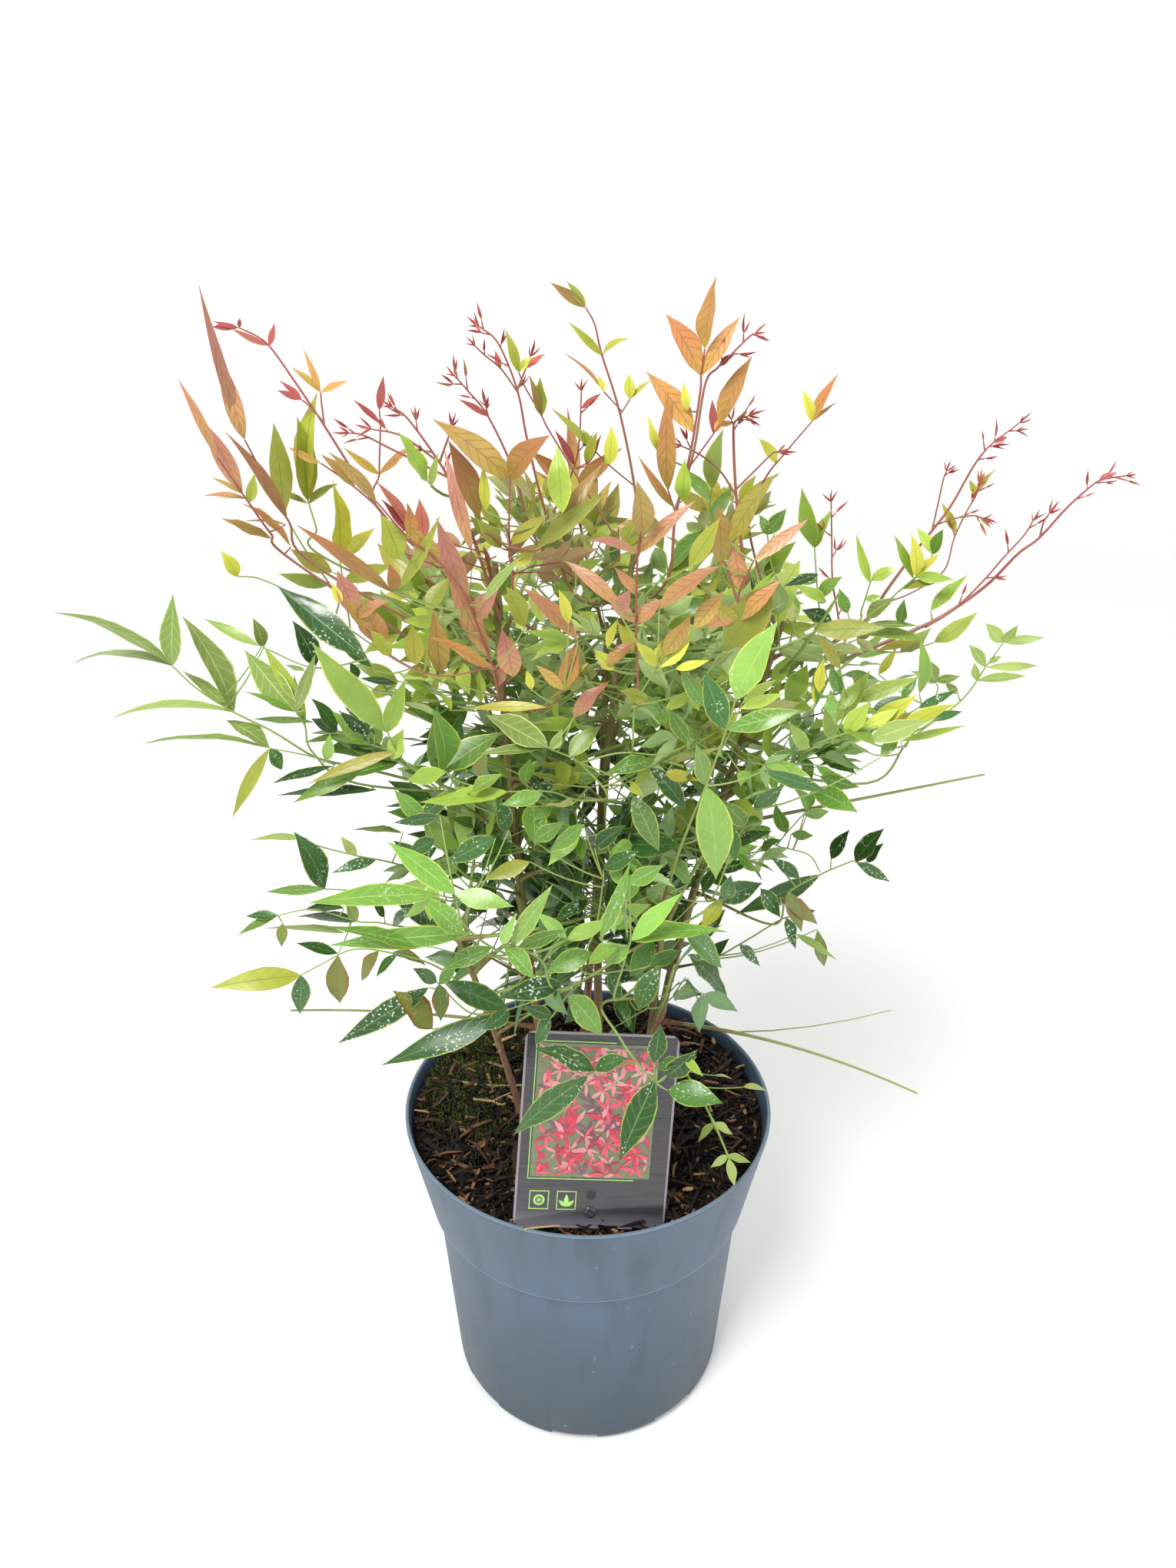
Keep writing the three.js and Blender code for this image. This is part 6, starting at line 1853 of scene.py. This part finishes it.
def print_material(name, shade):
    """Glossy printed ink: an even colour broken by fine cloudy dots."""
    material, tree, shader = new_material(name, 0.22, Coat_Weight=0.4)
    place = add(tree, "TexCoord", out="Object")
    clouds = add(tree, "TexNoise", {"Vector": place, "Scale": 320.0, "Detail": 3.0})
    deeper = add(tree, "MapRange", {0: clouds, 1: 0.35, 2: 0.7, 3: 0.0, 4: 0.55})
    dress(tree, shader, blended(tree, deeper, linear(shade), scaled(linear(shade), 0.6)))
    return material


def plastic_material(name, shade, roughness):
    """Black moulded plastic: even, a little cloudy, with a fine skin."""
    material, tree, shader = new_material(name, roughness)
    place = add(tree, "TexCoord", out="Object")
    clouds = add(tree, "TexNoise", {"Vector": place, "Scale": 120.0, "Detail": 3.0})
    shade = blended(tree, clouds, linear(shade), scaled(linear(shade), 0.6))
    dress(tree, shader, shade, clouds, 0.1, 0.0003)
    return material


# ----------------------------------------------------------------------------- stage
def floor_material(name, shade):
    """Seamless backdrop paper: matt and almost white, with a faint cloudiness."""
    material, tree, shader = new_material(name, 0.9)
    place = add(tree, "TexCoord", out="Object")
    clouds = add(tree, "TexNoise", {"Vector": place, "Scale": 3.0, "Detail": 2.0})
    dress(tree, shader, blended(tree, clouds, shade, scaled(shade, 0.985)))
    return material


def make_floor(shade):
    """A round paper bowl: flat near the plant, then r = flat + bend sin a,
    z = bend (1 - cos a) up to a wall that stands upright."""
    profile = [(radius, 0) for radius in (0.4, 1.0, 1.6)]
    profile += [
        (2.0 + 0.8 * math.sin(a), 0.8 * (1 - math.cos(a))) for a in np.linspace(0, math.pi / 2, 12)
    ]
    profile += [(2.8, 1.8), (2.8, 3.0)]
    rings = turned(np.array(profile), even_angles(64))
    index, ahead, quads, _ = ring_faces(*rings.shape[:2], flip=True)
    middle = [(int(a), int(b), index.size) for a, b in zip(index[0], ahead[0])]
    mesh = bpy.data.meshes.new("paper_sweep")
    mesh.from_pydata([*rings.reshape(-1, 3).tolist(), (0, 0, 0)], [], quads.tolist() + middle)
    mesh.polygons.foreach_set("use_smooth", np.ones(len(mesh.polygons), bool))
    mesh.update()
    mesh.materials.append(floor_material("white_photo_paper", shade))
    floor = bpy.data.objects.new("paper_sweep", mesh)
    bpy.context.scene.collection.objects.link(floor)


def make_lamp(name, place, size, watts):
    """A square soft lamp at a place, aimed at the plant, that the camera doesn't see."""
    light = bpy.data.lights.new(name, "AREA")
    light.shape = "SQUARE"
    light.size = size
    light.energy = watts
    lamp = bpy.data.objects.new(name, light)
    lamp.location = place
    way = Vector(LAMP_TARGET) - Vector(place)
    lamp.rotation_euler = way.to_track_quat("-Z", "Y").to_euler()
    lamp.visible_camera = False
    bpy.context.scene.collection.objects.link(lamp)


def make_camera():
    """The camera that looks down on the plant from the front."""
    lens = bpy.data.cameras.new("camera")
    lens.lens = CAMERA_LENS
    lens.sensor_width = 36
    camera = bpy.data.objects.new("camera", lens)
    camera.location = EYE * MM
    camera.rotation_euler = (math.radians(90 - CAMERA_PITCH), 0, 0)
    bpy.context.scene.collection.objects.link(camera)
    bpy.context.scene.camera = camera


# ------------------------------------------------------------------------- properties
def colour_property(name, description, shade):
    """A colour property whose default is an sRGB hex colour."""
    return FloatVectorProperty(
        name=name, description=description, subtype="COLOR", size=4, min=0, max=1,
        default=linear(shade),
    )


class CaneSettings(PropertyGroup):
    """Settings of the canes."""

    sides: IntProperty(name="Sides", description="Points round a cane", default=28, min=8, max=64)
    furrow: FloatProperty(
        name="Furrow depth", description="Depth of the bark's long furrows",
        default=0.00055, min=0, max=0.002, unit="LENGTH", precision=5,
    )
    colour: colour_property("Bark colour", "Colour of the old bark", "#94675a")


class LeafSettings(PropertyGroup):
    """Settings of the compound leaves."""

    spacing: FloatProperty(
        name="Inner spacing", description="Height between two leaves of the inner crown on a cane",
        default=0.018, min=0.008, max=0.06, unit="LENGTH", precision=4,
    )
    red: colour_property("Red stalks", "Colour of the young leaves' stalks", "#9a4b48")
    green: colour_property("Green stalks", "Colour of the older leaves' stalks", "#86a04e")


class PotSettings(PropertyGroup):
    """Settings of the pot."""

    colour: colour_property("Pot colour", "Colour of the moulded plastic", "#435567")


class FillSettings(PropertyGroup):
    """Settings of the fill in the pot."""

    peat: colour_property("Peat colour", "Colour of the damp peat", "#120e0b")
    density: FloatProperty(
        name="Shreds", description="How densely bark shreds are strewn, 1 as designed",
        default=1.0, min=0.1, max=1.5, subtype="FACTOR",
    )
    tufts: IntProperty(name="Moss spikes", description="Spikes of moss", default=4200, min=0, max=6000)


class LabelSettings(PropertyGroup):
    """Settings of the plant label."""

    card: colour_property("Card colour", "Colour of the printed boards", "#3c3a3e")


class StageSettings(PropertyGroup):
    """Settings of the light and the floor."""

    paper: colour_property("Paper colour", "Colour of the floor", "#fbfbfa")
    key: FloatProperty(
        name="Key lamp", description="Power of the key lamp", default=44, min=0, unit="POWER",
    )
    fill: FloatProperty(
        name="Fill lamp", description="Power of the fill lamp", default=8, min=0, unit="POWER",
    )
    sky: FloatProperty(name="Sky", description="Strength of the even light", default=0.68, min=0, max=3)


# -------------------------------------------------------------------------- operators
class PLANT_OT_canes(Operator):
    """Make the canes"""

    bl_idname = "plant.canes"
    bl_label = "Canes"

    def execute(self, context):
        make_canes(context.scene.plant_canes)
        return {"FINISHED"}


class PLANT_OT_leaves(Operator):
    """Grow the compound leaves: sheaths, rachises and stalks, leaflets"""

    bl_idname = "plant.leaves"
    bl_label = "Compound leaves"

    def execute(self, context):
        settings = context.scene.plant_leaves
        growth = grow_plant(round(settings.spacing / MM, 3))
        make_sheaths(growth)
        make_stalks(
            growth, "stalks_red", stalk_material("red_leaf_stalk", settings.red, "#857a4a"),
            lambda tint: tint in RED_STALKED,
        )
        make_stalks(
            growth, "stalks_green", stalk_material("green_leaf_stalk", settings.green, "#7c7a44"),
            lambda tint: tint not in (*RED_STALKED, "cut"),
        )
        make_stalks(
            growth, "stalks_bare", stalk_material("bare_leaf_stalk", linear("#8c9656"), "#7d5f46"),
            lambda tint: tint == "cut",
        )
        make_foliage(growth)
        return {"FINISHED"}


class PLANT_OT_pot(Operator):
    """Make the pot"""

    bl_idname = "plant.pot"
    bl_label = "Pot"

    def execute(self, context):
        make_pot(context.scene.plant_pot)
        return {"FINISHED"}


class PLANT_OT_fill(Operator):
    """Make the fill: peat, bark shreds, moss and straws"""

    bl_idname = "plant.fill"
    bl_label = "Peat and bark"

    def execute(self, context):
        settings = context.scene.plant_fill
        make_bed(settings)
        make_shreds(settings)
        make_moss(settings)
        make_loose_stalks()
        return {"FINISHED"}


class PLANT_OT_label(Operator):
    """Make the plant label, its print and its peg"""

    bl_idname = "plant.label"
    bl_label = "Plant label"

    def execute(self, context):
        make_label_card(context.scene.plant_label)
        make_label_print()
        make_label_button()
        finish = plastic_material("black_peg_plastic", "#43474d", 0.45)
        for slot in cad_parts["label_peg"].material_slots:
            slot.material = finish
        return {"FINISHED"}


class PLANT_OT_stage(Operator):
    """Set up the floor, the light and the camera"""

    bl_idname = "plant.stage"
    bl_label = "Stage"

    def execute(self, context):
        settings = context.scene.plant_stage
        make_floor(settings.paper)
        make_lamp("key_lamp", *KEY_LAMP, settings.key)
        make_lamp("fill_lamp", *FILL_LAMP, settings.fill)
        world = bpy.data.worlds.new("even_sky")
        world.use_nodes = True
        back = world.node_tree.nodes["Background"]
        back.inputs["Color"].default_value = (1, 1, 1, 1)
        back.inputs["Strength"].default_value = settings.sky
        context.scene.world = world
        context.scene.view_settings.view_transform = "Standard"
        make_camera()
        return {"FINISHED"}


class PLANT_PT_panel(Panel):
    """Lists the plant's pieces and their settings"""

    bl_idname = "PLANT_PT_panel"
    bl_label = "Heavenly bamboo"
    bl_space_type = "VIEW_3D"
    bl_region_type = "UI"
    bl_category = "Plant"

    def draw(self, context):
        for operator, group, names in STEPS:
            box = self.layout.box()
            box.operator(operator.bl_idname)
            for name in names:
                box.prop(getattr(context.scene, group), name)


STEPS = (
    (PLANT_OT_stage, "plant_stage", ("paper", "key", "fill", "sky")),
    (PLANT_OT_pot, "plant_pot", ("colour",)),
    (PLANT_OT_fill, "plant_fill", ("peat", "density", "tufts")),
    (PLANT_OT_label, "plant_label", ("card",)),
    (PLANT_OT_canes, "plant_canes", ("sides", "furrow", "colour")),
    (PLANT_OT_leaves, "plant_leaves", ("spacing", "red", "green")),
)
GROUPS = {
    "plant_canes": CaneSettings, "plant_pot": PotSettings, "plant_fill": FillSettings,
    "plant_label": LabelSettings, "plant_stage": StageSettings, "plant_leaves": LeafSettings,
}


def register():
    for group in GROUPS.values():
        bpy.utils.register_class(group)
    for operator, _, _ in STEPS:
        bpy.utils.register_class(operator)
    bpy.utils.register_class(PLANT_PT_panel)
    for name, group in GROUPS.items():
        setattr(bpy.types.Scene, name, PointerProperty(type=group))


def unregister():
    for name in GROUPS:
        delattr(bpy.types.Scene, name)
    bpy.utils.unregister_class(PLANT_PT_panel)
    for operator, _, _ in reversed(STEPS):
        bpy.utils.unregister_class(operator)
    for group in reversed(GROUPS.values()):
        bpy.utils.unregister_class(group)


def main():
    """Runs every step in order."""
    register()
    for operator, _, _ in STEPS:
        category, name = operator.bl_idname.split(".")
        getattr(getattr(bpy.ops, category), name)()


if __name__ == "__main__":
    main()
